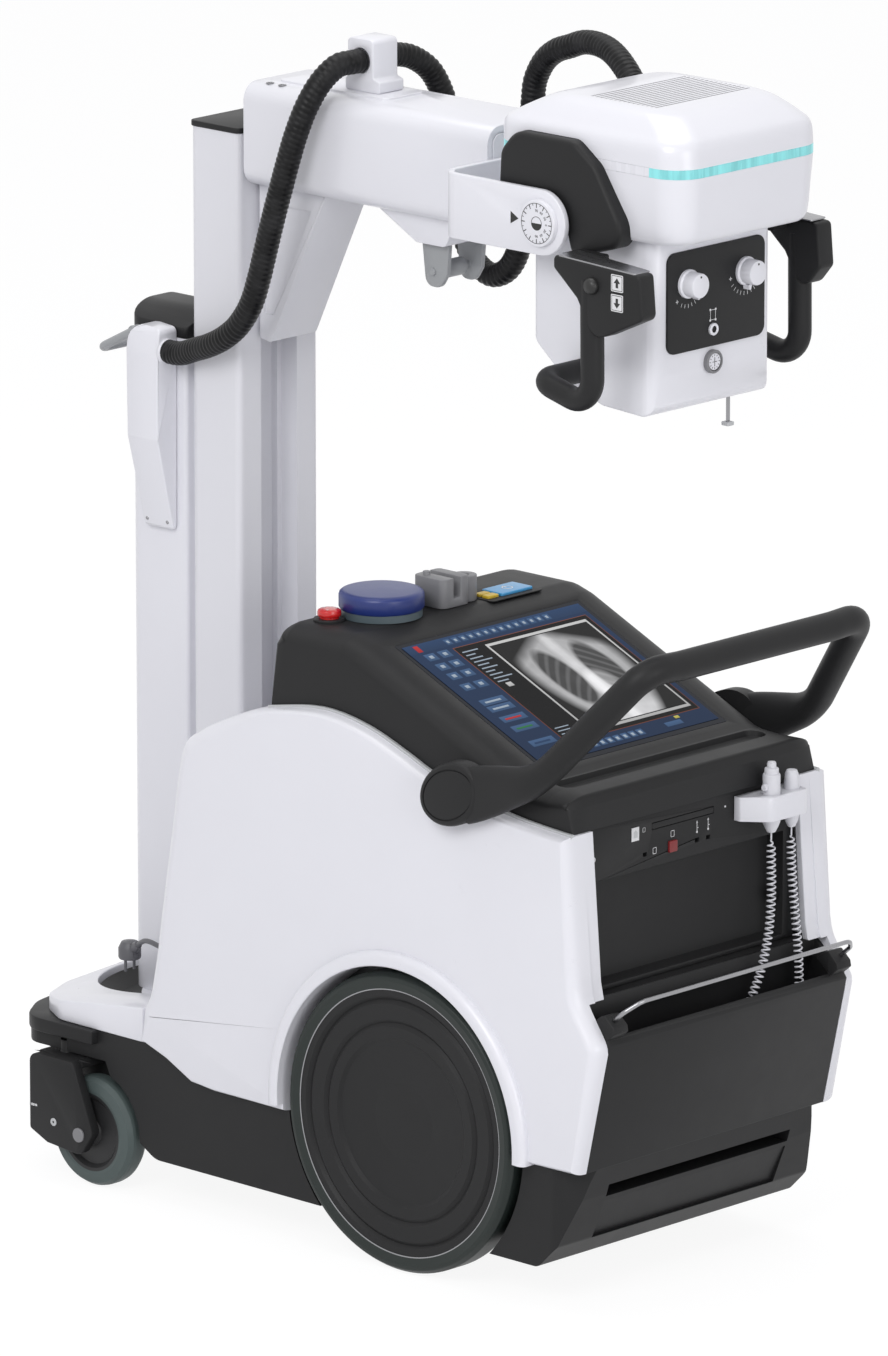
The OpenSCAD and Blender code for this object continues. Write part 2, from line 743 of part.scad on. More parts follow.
module hub_right() {
    color([0.2, 0.2, 0.21])
    translate([wheel_x, wheel_face, wheel_r])
        rotate([90, 0, 0])
            rotate_extrude($fn = round_fn)
                polygon([[0, 14], [60, 14], [128, 11], [134, 7], [150, 6], [156, 10], [162, 6], [186, 5],
                    [192, 9], [198, 4], [hub_d / 2 - seat / 10, 4], [hub_d / 2 - seat / 10, wheel_w - 4],
                    [hub_d / 2 - 14, wheel_w - 4], [hub_d / 2 - 22, 26], [60, 26], [44, wheel_w - 2],
                    [stub_d / 2 + pin_fit, wheel_w - 2], [stub_d / 2 + pin_fit, 17.8], [0, 17.8]]);
}

module tyre_left() {
    mirror([0, 1, 0]) tyre_right();
}

module hub_left() {
    mirror([0, 1, 0]) hub_right();
}

// Castor fork seen from the side, as rows of x, z and corner radius from the swivel axis
fork_rows = [[-41, 79, 6], [-3, 62, 12], [70, 55, 16], [97, 94, 14], [54, 202, 8], [-41, 202, 14]];
fork_gap = castor_w + 8;

module castor_fork_right() {
    color([0.16, 0.16, 0.17])
    translate([-castor_x, castor_y, 0]) {
        difference() {
            union() {
                across(-fork_gap / 2 - cheek, -fork_gap / 2) polygon(outline(fork_rows));
                across(fork_gap / 2, fork_gap / 2 + shroud) polygon(outline(fork_rows));
            }
            translate([trail, 0, castor_r]) rod_y(castor_pin_d / 2 - eps, -100, 100);
        }
        upright(188, 202)
            polygon(outline([[-40, -fork_gap / 2 - 1, 8], [54, -fork_gap / 2 - 1, 8], [54,
                fork_gap / 2 + 1, 8],
                [-40, fork_gap / 2 + 1, 8]], 4));
        translate([0, 0, 200]) cylinder(d = stem_d, h = 22, $fn = small_fn);
        translate([trail, 0, castor_r]) rod_y(castor_pin_d / 2, -fork_gap / 2 - cheek - 3,
            fork_gap / 2 + shroud + 3);
    }
}

module castor_fork_left() {
    mirror([0, 1, 0]) castor_fork_right();
}

module castor_wheel_right() {
    color([0.3, 0.33, 0.32])
    translate([-castor_x + trail, castor_y + castor_w / 2, castor_r])
        rotate([90, 0, 0])
            rotate_extrude($fn = round_fn)
                polygon([[castor_pin_d / 2 + pin_fit, -2], [18, -2], [22, 6], [52, 9], [58, 3], [68, 2],
                    [castor_r - 6, 4], [castor_r - 1, 12], [castor_r, 18], [castor_r, castor_w - 18],
                    [castor_r - 1, castor_w - 12], [castor_r - 6, castor_w - 4], [68, castor_w - 2],
                    [58, castor_w - 3], [52, castor_w - 9], [22, castor_w - 6], [18, castor_w + 2],
                    [castor_pin_d / 2 + pin_fit, castor_w + 2]]);
}

module castor_wheel_left() {
    mirror([0, 1, 0]) castor_wheel_right();
}

// Column extrusion on its round foot
column_back = column_x - 128;
column_front = column_back + column_depth;
foot_r = 128;

module column_plan() {
    difference() {
        polygon(outline([[-column_front, -column_half, 12], [-column_back, -column_half, 10],
            [-column_back, column_half, 10], [-column_front, column_half, 12]], 4));
        translate([-column_back - channel_depth, -channel_half]) square([channel_depth + 10,
            2 * channel_half]);
        translate([-column_back - channel_depth - 12, -channel_half + 9]) square([20,
            2 * channel_half - 18]);
    }
}

module column() {
    color([0.85, 0.85, 0.88]) {
        upright(recess_z + 16, column_top) column_plan();
        translate([-column_x, 0, recess_z + seat]) cylinder(r = foot_r, h = 16, $fn = round_fn);
        translate([-column_x, 0, recess_z - 30]) cylinder(r = pivot_r, h = 32, $fn = round_fn);
    }
}

module column_cap() {
    color([0.15, 0.15, 0.16])
    upright(column_top + eps, column_top + 9)
        polygon(outline([[-column_front - 2, -column_half - 2, 12], [-column_back + 2, -column_half - 2,
            10],
            [-column_back + 2, column_half + 2, 10], [-column_front - 2, column_half + 2, 12]], 4));
}

// Front cover, rounded at its front
cover_front = 592;
cover_back = 455;
cover_rows = [[-cover_front, -cover_half + 6, 34], [-cover_back, -cover_half, 8], [-cover_back,
    -cover_half + 18, 0],
    [-column_front - seat, -cover_half + 18, 0], [-column_front - seat, cover_half - 18, 0],
    [-cover_back, cover_half - 18, 0], [-cover_back, cover_half, 8], [-cover_front, cover_half - 6, 34]];

module column_cover() {
    color([0.93, 0.93, 0.95])
    upright(recess_z + 16 + seat, cover_top) polygon(outline(cover_rows, 6));
}

module cover_cap() {
    color([0.15, 0.15, 0.16])
    intersection() {
        upright(cover_top + eps, cover_top + 50) polygon(outline(cover_rows, 6));
        along(-700, -300)
            polygon(outline([[-cover_half - 1, cover_top, 0], [cover_half + 1, cover_top, 0],
                [cover_half + 1, cover_top + 16, 8], [30, cover_top + 40, 60], [-30, cover_top + 40, 60],
                [-cover_half - 1, cover_top + 16, 8]], 4));
    }
}

// Bulge that the hose leaves from, on the cover's left side
duct_x = [-543, -474];
duct_y = 124;
hose_exit = [-474, -104, 1305];

module hose_duct() {
    color([0.93, 0.93, 0.95])
    intersection() {
        along(duct_x[0], duct_x[1])
            polygon(outline([[-cover_half - 0.1, 1016, 0], [-cover_half - 0.1, 1348, 0], [-duct_y + 6,
                1348, 20],
                [-duct_y, 1300, 30], [-duct_y, 1165, 10], [-cover_half - 8, 1016, 4]], 4));
        across(-200, 0)
            polygon(outline([[duct_x[0] + 4, 1016, 6], [duct_x[1] - 2, 1016, 6], [duct_x[1], 1340, 10],
                [duct_x[0], 1346, 36]], 5));
    }
    color([0.15, 0.15, 0.16])
    translate([0, hose_exit[1], hose_exit[2]]) rod_x(19, duct_x[1] - 8, duct_x[1] + 4);
}

module cover_handle() {
    color([0.6, 0.6, 0.62])
    {
        tube(route([[-552, -cover_half - 8, 1326, 0], [-638, -cover_half - 8, 1282, 18],
            [-638, cover_half + 8, 1282, 18], [-552, cover_half + 8, 1326, 0]], 5), 7, 10, [0, 0, 1]);
        both_sides()
            translate([-562, 0, 1321]) rod_y(9, cover_half - 4 + seat, cover_half + 12);
    }
}

// Arm tube that rides on the column
arm_back = column_back - slide_gap;
arm_r = 28;

module arm_section(gap, r) {
    polygon(outline([[-arm_half + gap, arm_z + gap, r], [arm_half - gap, arm_z + gap, r],
        [arm_half - gap, arm_z + arm_h - gap, r], [-arm_half + gap, arm_z + arm_h - gap, r]], 6));
}

module arm_outer() {
    color([0.93, 0.93, 0.95]) {
        difference() {
            along(-arm_back, arm_end) arm_section(0, arm_r);
            along(-arm_back + arm_wall, arm_end + 10) arm_section(arm_wall, arm_r - arm_wall);
        }
        // Fairing over the parking bracket
        across(-55, 55)
            polygon(outline([[-70, arm_z + 2, 0], [14, arm_z - 44, 12], [74, arm_z - 44, 12], [98,
                arm_z + 2, 0]], 4));
        // Cover strip on top
        upright(arm_z + arm_h - 1, arm_z + arm_h + 4)
            polygon(outline([[-290, -44, 12], [-60, -44, 12], [-60, 44, 12], [-290, 44, 12]], 4));
    }
}

// Carriage: web under the arm and the runner in the column's channel
module carriage() {
    web_z = 1340;
    color([0.9, 0.9, 0.93])
    difference() {
        across(-web_half, web_half)
            polygon(outline([[-arm_back, web_z, 4], [-300, web_z - 4, 6], [-182, arm_z - 1, 0],
                [-182, arm_z - eps, 0], [-arm_back, arm_z - eps, 0]], 4));
        both_sides()
            across(web_half - 6, web_half + 10)
                polygon([[-arm_back + 8, web_z + 40], [-296, web_z + 40], [-214, arm_z - 30],
                    [-arm_back + 8, arm_z - 30]]);
    }
    color([0.5, 0.5, 0.52]) {
        translate([-column_back - channel_depth + seat, -channel_half + seat, web_z + 20])
            cube([channel_depth - seat + slide_gap, 2 * (channel_half - seat), arm_z - web_z - 40]);
        translate([-column_back - channel_depth + seat, -channel_half + seat, arm_z - 20 - eps])
            cube([channel_depth - seat + slide_gap - eps, 2 * (channel_half - seat), 34]);
    }
}

// Parking bracket under the arm
module dock_bracket() {
    low = arm_z - 112;
    color([0.45, 0.46, 0.47]) {
        both_sides()
            across(34, 42)
                polygon(outline([[14, arm_z - 44 - eps, 0], [22, low, 16], [52, low, 16], [66,
                    arm_z - 90, 10],
                    [70, arm_z - 44 - eps, 0]], 5));
        translate([38, 0, low + 24]) rod_y(6, -46, 46);
        translate([38, 0, low + 24]) rod_y(14, -20, 20);
    }
}

clamp_x = -130;

module hose_clamp() {
    top = arm_z + arm_h + 4 + eps;
    color([0.9, 0.9, 0.93])
    difference() {
        across(-27, 27)
            polygon(outline([[clamp_x - 32, top, 4], [clamp_x + 40, top, 4], [clamp_x + 40, top + 18, 4],
                [clamp_x + 27, top + 22, 4], [clamp_x + 27, top + 82, 8], [clamp_x - 27, top + 82, 8],
                [clamp_x - 27, top + 22, 4], [clamp_x - 32, top + 18, 4]], 4));
        translate([clamp_x, 0, clamp_z()]) rod_y(hose_d / 2 + seat, -60, 60);
    }
}
function clamp_z() = arm_z + arm_h + 4 + 48;

// Inner tube that slides out, with the bearing pin of the yoke
yoke_back = arm_end + 7;
roll_r = 26;
roll_z = arm_z + arm_h / 2;

module arm_inner() {
    gap = arm_wall + arm_fit;
    color([0.88, 0.88, 0.9]) {
        along(-250, arm_end + 1) arm_section(gap, arm_r - arm_wall - 1);
        translate([0, 0, roll_z]) {
            rod_x(46, arm_end, yoke_back - seat, round_fn);
            rod_x(roll_r, arm_end, yoke_back + yoke_t);
        }
    }
}

module yoke() {
    color([0.93, 0.93, 0.95])
    difference() {
        intersection() {
            upright(tilt_z - 80, tilt_z + 120)
                difference() {
                    polygon(outline([[yoke_back, -tilt_y, 34], [tilt_x + 80, -tilt_y, 0], [tilt_x + 80,
                        tilt_y, 0],
                        [yoke_back, tilt_y, 34]], 6));
                    polygon(outline([[yoke_back + yoke_t, -yoke_in, 24], [tilt_x + 90, -yoke_in, 0],
                        [tilt_x + 90, yoke_in, 0], [yoke_back + yoke_t, yoke_in, 24]], 6));
                }
            across(-300, 300)
                union() {
                    translate([tilt_x, tilt_z]) circle(r = yoke_half_h, $fn = round_fn);
                    translate([yoke_back - 1, tilt_z - yoke_half_h]) square([tilt_x - yoke_back + 1,
                        2 * yoke_half_h]);
                }
        }
        translate([tilt_x, 0, tilt_z]) rod_y(trunnion_r + pin_fit, -300, 300);
        translate([0, 0, roll_z]) rod_x(roll_r + pin_fit, yoke_back - 10, yoke_back + 30);
    }
}

// Tube head: rows of height, back, front, half width and corner radius in plan
head_rows = [[1637, head_back + 8, head_front - 18, head_half - 12, 40],
    [1650, head_back + 3, head_front - 8, head_half - 6, 46],
    [1700, head_back, head_front - 3, head_half - 2, 50],
    [1740, head_back, head_front, head_half, 50],
    [1754, head_back, head_front, head_half, 50],
    [1784, head_back + 2, head_front - 4, head_half - 1, 50],
    [1800, head_back + 22, head_front - 16, head_half - 12, 50],
    [1822, head_back + 66, head_front - 52, head_half - 32, 46],
    [1830, head_back + 92, head_front - 86, head_half - 48, 40]];

function head_ring(row) = [for (p = outline([[row[1], -row[3], row[4]], [row[2], -row[3], row[4]],
    [row[2], row[3], row[4]], [row[1], row[3], row[4]]], 6)) [p[0], p[1], row[0]]];

module head_part(a, b) {
    difference() {
        loft([for (i = [a : b]) head_ring(head_rows[i])]);
        side_cover_room();
    }
}

// Side covers round the tilt pins, seen from the side as rows of x, z and corner radius
side_rows = [[300, 1640, 14], [440, 1640, 0], [452, 1600, 16], [545, 1628, 40], [552, 1660, 40], [500,
    1745, 40],
    [455, 1778, 30], [335, 1778, 40], [306, 1745, 30]];
side_cover_in = head_half - 16;
side_cover_out = yoke_in - 6;

module side_cover_room() {
    both_sides()
        across(side_cover_in - seat, head_half + 40) offset_rows(side_rows, -seat);
}

module offset_rows(rows, d) {
    polygon(inset(with(outline(rows, 5), 1), d));
}

module side_cover_right() {
    color([0.14, 0.14, 0.15]) {
        across(side_cover_in, side_cover_out) polygon(outline(side_rows, 5));
        translate([tilt_x, 0, tilt_z]) rod_y(trunnion_r, side_cover_out - 1, tilt_y + seat);
    }
}

module side_cover_left() {
    mirror([0, 1, 0]) side_cover_right();
}

module head_base() {
    color([0.93, 0.93, 0.95]) head_part(0, 3);
}

module light_band() {
    color([0.35, 0.85, 0.85]) translate([0, 0, seat]) head_part(3, 4);
}

module head_cover() {
    color([0.93, 0.93, 0.95])
    translate([0, 0, 2 * seat])
        difference() {
            head_part(4, 8);
            for (i = [0 : 13])
                translate([422 + 10 * i, -105, 1826]) cube([3, 210, 20]);
            // Socket that the hose ends in
            tube(concat(from(hose_head_points, 3),
                [last(hose_head_points) + 2.5 * seat * unit(hose_end_dir)]),
                hose_d / 2 + 1, 12, [0, 0, 1]);
        }
}

module tilt_dial() {
    color([0.85, 0.85, 0.87])
    both_sides()
        translate([tilt_x, 0, tilt_z]) rod_y(36, tilt_y + seat, tilt_y + 8, round_fn);
}

// Collimator housing under the head
collimator_x = [327, 576];
head_foot = head_rows[0][0];

module collimator() {
    color([0.93, 0.93, 0.95])
    difference() {
        intersection() {
            across(-collimator_half, collimator_half)
                polygon(outline([[collimator_x[0], head_foot - seat, 0], [collimator_x[0], 1455, 30],
                    [395, 1398, 40], [470, collimator_z + 6, 20], [collimator_x[1] - 8, collimator_z, 20],
                    [collimator_x[1], collimator_z + 70, 60], [collimator_x[1], head_foot - seat, 0]], 5));
            upright(1300, 1700)
                polygon(outline([[collimator_x[0], -collimator_half, 14], [collimator_x[1],
                    -collimator_half, 24],
                    [collimator_x[1], collimator_half, 24], [collimator_x[0], collimator_half, 14]], 5));
        }
        // Window that the beam leaves through
        translate([430, -70, collimator_z - 20]) cube([120, 140, 30]);
    }
}

module control_panel() {
    color([0.15, 0.15, 0.16])
    along(collimator_x[1] + eps, collimator_x[1] + 4)
        polygon(outline([[-108, 1458, 12], [108, 1458, 12], [108, 1612, 12], [-108, 1612, 12]], 4));
}

module panel_knobs() {
    face = collimator_x[1] + 4 + eps;
    color([0.9, 0.9, 0.92]) {
        for (y = [-64, 64]) translate([0, y, 1562]) {
            rod_x(22, face, face + 6);
            rod_x(19, face + 5, face + 27);
        }
        translate([0, -8, 1484]) rod_x(9, face, face + 4);
        translate([0, -6, 1434]) rod_x(18, collimator_x[1] + eps, collimator_x[1] + 8);
    }
}

// Grip frame on each side of the collimator
grip_y = 231;
grip_x = 540;

module grip_right() {
    r = grip_d / 2;
    color([0.13, 0.13, 0.14]) {
        tube(route([[430, collimator_half + seat, 1418, 0], [430, grip_y - 6, 1418, 26],
            [grip_x + 2, grip_y, 1392, 34], [grip_x, grip_y, 1590, 0]], 5), r, 12, [0, 0, 1]);
        across(grip_y - r + 1, grip_y + r - 1)
            polygon(outline([[grip_x - r + 1, 1560, 6], [grip_x + r, 1500, 20], [656, 1545, 12], [650,
                1612, 10],
                [476, 1622, 10], [476, 1600, 6]], 5));
        translate([470, side_cover_out + seat, 1596]) cube([60, grip_y - side_cover_out - 10, 22]);
    }
}

module grip_left() {
    mirror([0, 1, 0]) grip_right();
}

// Hoses: points along their routes
hose_d = 38;
hose_column_points = [[-469.7, -104, 1305], [-452, -104, 1305], [-432, -107, 1309], [-402, -113, 1320],
    [-365, -122, 1333],
    [-325, -129, 1352], [-290, -132, 1378], [-262, -133, 1415], [-244, -133, 1460], [-230, -132, 1508],
    [-215, -131, 1558], [-200, -130, 1605], [-186, -128, 1650], [-172, -124, 1695], [-158, -115, 1738],
    [-145, -98, 1774], [-136, -72, 1796], [-130, -45, 1799], [-130, -28, 1799]];
hose_loop_points = [[-130, 28, 1799], [-128, 50, 1798], [-122, 80, 1790], [-112, 108, 1768], [-104, 126,
    1732],
    [-100, 136, 1690], [-98, 140, 1640], [-94, 142, 1590], [-86, 143, 1545], [-70, 144, 1500],
    [-46, 144, 1468], [-14, 144, 1455], [18, 144, 1468], [40, 144, 1500], [52, 144, 1545], [58, 143, 1590],
    [62, 142, 1640], [67, 142, 1695], [72, 142, 1735]];
hose_bridge_points = [[72, 142, 1735.3], [76, 142, 1767.3], [86, 142, 1790], [102, 141, 1810], [126, 139,
    1826],
    [154, 137, 1836]];
hose_head_points = [[154.3, 137, 1836.1], [182, 135, 1846], [212, 131, 1849], [242, 125, 1846],
    [270, 116, 1838], [298, 106, 1824], [322, 97, 1808]];
hose_end_dir = last(hose_head_points) - hose_head_points[len(hose_head_points) - 2];

module hose(points) {
    color([0.07, 0.07, 0.08]) tube(points, hose_d / 2, 10, [0, 0, 1]);
}

module hose_column() {
    hose(hose_column_points);
}

module hose_loop() {
    hose(hose_loop_points);
}

module hose_bridge() {
    hose(hose_bridge_points);
}

module hose_head() {
    hose(hose_head_points);
}

chassis();
battery_block();
body_shell();
cowl_left();
cowl_right();
front_deck();
front_bumper();
recess_ring();
console();
screen();
dock_post();
canister();
canister_lid();
stop_button();
keypad();
push_handle();
rear_panel();
detector_bin();
bin_rail();
switch_holder();
hand_switch();
curly_cord();
mains_plug();
mains_lead();
lead_gland();
tyre_left();
tyre_right();
hub_left();
hub_right();
castor_fork_left();
castor_fork_right();
castor_wheel_left();
castor_wheel_right();
column();
column_cap();
column_cover();
cover_cap();
hose_duct();
cover_handle();
arm_outer();
carriage();
dock_bracket();
hose_clamp();
arm_inner();
yoke();
head_base();
light_band();
head_cover();
side_cover_left();
side_cover_right();
tilt_dial();
collimator();
control_panel();
panel_knobs();
grip_left();
grip_right();
hose_column();
hose_loop();
hose_bridge();
hose_head();
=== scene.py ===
"""Looks of the mobile x-ray unit, built round its packed model. Made as an add-on, run as a script."""

import math

import bmesh
import bpy
from mathutils import Matrix, Vector


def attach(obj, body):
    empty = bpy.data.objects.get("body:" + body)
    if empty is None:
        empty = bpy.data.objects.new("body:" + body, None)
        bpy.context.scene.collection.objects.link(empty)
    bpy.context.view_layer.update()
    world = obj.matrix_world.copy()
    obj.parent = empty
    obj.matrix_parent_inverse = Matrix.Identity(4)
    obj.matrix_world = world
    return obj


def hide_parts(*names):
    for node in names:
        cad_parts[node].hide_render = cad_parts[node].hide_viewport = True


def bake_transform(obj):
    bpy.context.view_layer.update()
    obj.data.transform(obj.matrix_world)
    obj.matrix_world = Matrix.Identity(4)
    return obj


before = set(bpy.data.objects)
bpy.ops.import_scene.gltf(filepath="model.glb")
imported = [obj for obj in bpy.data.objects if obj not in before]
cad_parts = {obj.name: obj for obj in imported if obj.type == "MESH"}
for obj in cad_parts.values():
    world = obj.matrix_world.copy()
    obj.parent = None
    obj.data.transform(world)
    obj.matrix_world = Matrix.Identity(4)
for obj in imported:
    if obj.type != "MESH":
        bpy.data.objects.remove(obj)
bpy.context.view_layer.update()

bl_info = {
    "name": "Mobile X-ray Unit",
    "version": (1, 0, 0),
    "blender": (4, 5, 0),
    "location": "View3D > Sidebar > X-ray Unit",
    "description": "Finishes, hoses, covers and fittings of a mobile x-ray unit",
    "category": "Add Mesh",
}

MM = 0.001
QUARTER = math.pi / 2


# Shader maths


def feed(tree, socket, value):
    """Links or sets one input."""
    if isinstance(value, Value):
        tree.links.new(value.socket, socket)
    else:
        socket.default_value = value


class Value:
    """A socket that takes part in Python expressions."""

    def __init__(self, tree, socket):
        self.tree = tree
        self.socket = socket

    def maths(self, operation, *values, clamp=False):
        node = self.tree.nodes.new("ShaderNodeMath")
        node.operation = operation
        node.use_clamp = clamp
        for socket, value in zip(node.inputs, values):
            feed(self.tree, socket, value)
        return Value(self.tree, node.outputs[0])

    def __add__(self, other):
        return self.maths("ADD", self, other)

    __radd__ = __add__

    def __sub__(self, other):
        return self.maths("SUBTRACT", self, other)

    def __rsub__(self, other):
        return self.maths("SUBTRACT", other, self)

    def __mul__(self, other):
        return self.maths("MULTIPLY", self, other)

    __rmul__ = __mul__

    def __truediv__(self, other):
        return self.maths("DIVIDE", self, other)

    def __rtruediv__(self, other):
        return self.maths("DIVIDE", other, self)

    def __pow__(self, other):
        return self.maths("POWER", self, other)

    def __lt__(self, other):
        return self.maths("LESS_THAN", self, other)

    def __gt__(self, other):
        return self.maths("GREATER_THAN", self, other)

    def absolute(self):
        return self.maths("ABSOLUTE", self)

    def wave(self):
        return self.maths("SINE", self)

    def most(self, other):
        return self.maths("MAXIMUM", self, other)

    def within(self):
        """Held between 0 and 1."""
        return self.maths("ADD", self, 0.0, clamp=True)

    def rise(self, low, high):
        """0 below low, 1 above high and a straight ramp between."""
        return ((self - low) / (high - low)).within()


class Finish:
    """One material's nodes."""

    def __init__(self, name):
        self.material = bpy.data.materials.new(name)
        self.material.use_nodes = True
        self.tree = self.material.node_tree
        self.tree.nodes.clear()

    def node(self, kind, settings=None, inputs=None, output=0):
        made = self.tree.nodes.new(kind)
        for name, value in (settings or {}).items():
            if name == "stops":
                ramp = made.color_ramp
                while len(ramp.elements) < len(value):
                    ramp.elements.new(0.5)
                for element, (place, colour) in zip(ramp.elements, value):
                    element.position = place
                    element.color = (*colour, 1.0)
            else:
                setattr(made, name, value)
        for name, value in (inputs or {}).items():
            feed(self.tree, made.inputs[name], value)
        return Value(self.tree, made.outputs[output]) if made.outputs else made

    def place(self, source="Object"):
        return self.node("ShaderNodeTexCoord", output=source)

    def split(self, vector):
        made = self.node("ShaderNodeSeparateXYZ", inputs={0: vector})
        return [Value(self.tree, made.socket.node.outputs[i]) for i in range(3)]

    def noise(self, vector, scale, detail=2.0, roughness=0.5):
        return self.node("ShaderNodeTexNoise", inputs={
            "Vector": vector, "Scale": scale, "Detail": detail, "Roughness": roughness})

    def blend(self, factor, one, other):
        """Colour one where factor is 0 and other where it is 1."""
        one, other = (c if isinstance(c, Value) else (*c, 1.0) for c in (one, other))
        return self.node("ShaderNodeMix", {"data_type": "RGBA"}, {0: factor, 6: one, 7: other}, 2)

    def tint(self, colour, shade):
        """A colour scaled by a number that changes over the surface."""
        grey = self.node("ShaderNodeCombineXYZ", inputs={0: shade, 1: shade, 2: shade})
        return self.node("ShaderNodeVectorMath", {"operation": "MULTIPLY"}, {0: colour, 1: grey})

    def bump(self, height, strength, distance):
        return self.node("ShaderNodeBump", inputs={
            "Height": height, "Strength": strength, "Distance": distance})

    def surface(self, **sockets):
        names = {name.replace("_", " "): value for name, value in sockets.items()}
        shader = self.node("ShaderNodeBsdfPrincipled", inputs=names)
        self.node("ShaderNodeOutputMaterial", inputs={"Surface": shader})
        return self.material


FINISHES = {}


def kept(maker):
    """Makes each finish once."""

    def once(*words):
        key = (maker.__name__, *words)
        if key not in FINISHES:
            FINISHES[key] = maker(*words)
        return FINISHES[key]

    return once


def moulded(name, colour, gloss, grain_size, grain_depth, mottle=0.03, coat=0.0, level=0.5):
    """Moulded or painted surface with its fine grain and a slow change of shade and gloss."""
    finish = Finish(name)
    place = finish.place()
    broad = finish.noise(place, 7.0, 3.0)
    grain = finish.noise(place, 1.0 / (grain_size * MM), 2.0, 0.6)
    wipe = finish.noise(place, 23.0, 4.0, 0.7)
    shade = 1.0 - mottle + broad * (2 * mottle)
    rough = gloss + (wipe - 0.5) * 0.10 + (grain - 0.5) * 0.06
    return finish.surface(
        Base_Color=finish.tint(colour, shade), Roughness=rough.within(), Coat_Weight=coat,
        Coat_Roughness=0.12, Specular_IOR_Level=level,
        Normal=finish.bump(grain, 0.35, grain_depth * MM))


@kept
def cover_white():
    return moulded("cover_white", tuple(settings().cover_colour), 0.30, 2.2, 0.02, 0.015, 0.25)


@kept
def powder_white():
    return moulded("powder_white", tuple(settings().column_colour), 0.38, 1.4, 0.035, 0.015)


@kept
def charcoal():
    return moulded("charcoal", tuple(settings().dark_colour), 0.48, 1.1, 0.07, 0.06, 0.0, 0.22)


@kept
def matt_black():
    return moulded("matt_black", (0.008, 0.008, 0.009), 0.5, 1.0, 0.06, 0.06, 0.0, 0.2)


@kept
def cast_grey():
    return moulded("cast_grey", (0.20, 0.20, 0.21), 0.42, 1.6, 0.12, 0.06, 0.0, 0.6)


@kept
def bracket_grey():
    return moulded("bracket_grey", (0.32, 0.33, 0.34), 0.40, 1.8, 0.12, 0.05, 0.0, 0.5)


@kept
def lid_blue():
    return moulded("lid_blue", tuple(settings().lid_colour), 0.36, 1.6, 0.05, 0.04, 0.1)


@kept
def canister_grey():
    return moulded("canister_grey", (0.075, 0.105, 0.12), 0.38, 1.6, 0.04, 0.04)


@kept
def button_red():
    return moulded("button_red", (0.62, 0.012, 0.012), 0.22, 2.0, 0.02, 0.03, 0.4)


@kept
def socket_red():
    return moulded("socket_red", (0.20, 0.012, 0.014), 0.35, 1.5, 0.03, 0.04)


@kept
def key_yellow():
    return moulded("key_yellow", (0.62, 0.43, 0.03), 0.38, 1.5, 0.03, 0.04)


@kept
def key_blue():
    return moulded("key_blue", (0.045, 0.30, 0.60), 0.30, 1.5, 0.02, 0.03, 0.2)


@kept
def key_green():
    return moulded("key_green", (0.05, 0.45, 0.08), 0.35, 1.5, 0.02, 0.03)


@kept
def cord_white():
    return moulded("cord_white", (0.72, 0.72, 0.76), 0.40, 1.2, 0.02, 0.02)


@kept
def lead_grey():
    return moulded("lead_grey", (0.10, 0.10, 0.11), 0.42, 1.2, 0.03, 0.04)


@kept
def strip_grey():
    return moulded("strip_grey", (0.50, 0.51, 0.52), 0.34, 1.5, 0.02, 0.03)


@kept
def print_white():
    return moulded("print_white", (0.70, 0.70, 0.71), 0.45, 1.0, 0.01, 0.03)


@kept
def print_black():
    return moulded("print_black", (0.012, 0.012, 0.012), 0.42, 1.0, 0.01, 0.03)


@kept
def bare_steel():
    finish = Finish("bare_steel")
    place = finish.place()
    brushed = finish.node("ShaderNodeMapping", inputs={"Vector": place, "Scale": (40.0, 900.0, 40.0)})
    lines = finish.noise(brushed, 1.0, 3.0)
    wipe = finish.noise(place, 30.0, 3.0)
    return finish.surface(
        Base_Color=finish.tint((0.34, 0.34, 0.355), 0.92 + wipe * 0.12), Metallic=1.0,
        Roughness=(0.22 + lines * 0.14).within(), Normal=finish.bump(lines, 0.1, 0.02 * MM))


@kept
def tyre_black():
    """Rubber of the drive wheels, a little greenish, with faint dust low on its tread."""
    finish = Finish("tyre_black")
    place = finish.place()
    mottle = finish.noise(place, 18.0, 4.0, 0.65)
    grain = finish.noise(place, 700.0, 2.0)
    scuff = finish.noise(place, 90.0, 5.0, 0.75).rise(0.56, 0.74)
    colour = finish.blend(scuff * 0.16, (0.014, 0.020, 0.018), (0.075, 0.08, 0.075))
    return finish.surface(
        Base_Color=finish.tint(colour, 0.86 + mottle * 0.28), Roughness=(0.46 + scuff * 0.2).within(),
        Specular_IOR_Level=0.35, Normal=finish.bump(grain + scuff, 0.3, 0.08 * MM))


@kept
def castor_grey(side):
    """Castor tread in grey-green with its dark disc, told apart by the distance from the pin."""
    finish = Finish("castor_grey_" + side)
    place = finish.place()
    x, y, z = finish.split(place)
    from_pin = ((x + 0.462) ** 2.0 + (z - 0.088) ** 2.0) ** 0.5
    tread = from_pin.rise(0.0625, 0.0635)
    mottle = finish.noise(place, 40.0, 3.0)
    grain = finish.noise(place, 800.0, 2.0)
    colour = finish.blend(tread, (0.020, 0.020, 0.021), (0.075, 0.098, 0.096))
    return finish.surface(
        Base_Color=finish.tint(colour, 0.92 + mottle * 0.16), Roughness=(0.42 + grain * 0.12).within(),
        Specular_IOR_Level=0.35, Normal=finish.bump(grain, 0.25, 0.06 * MM))


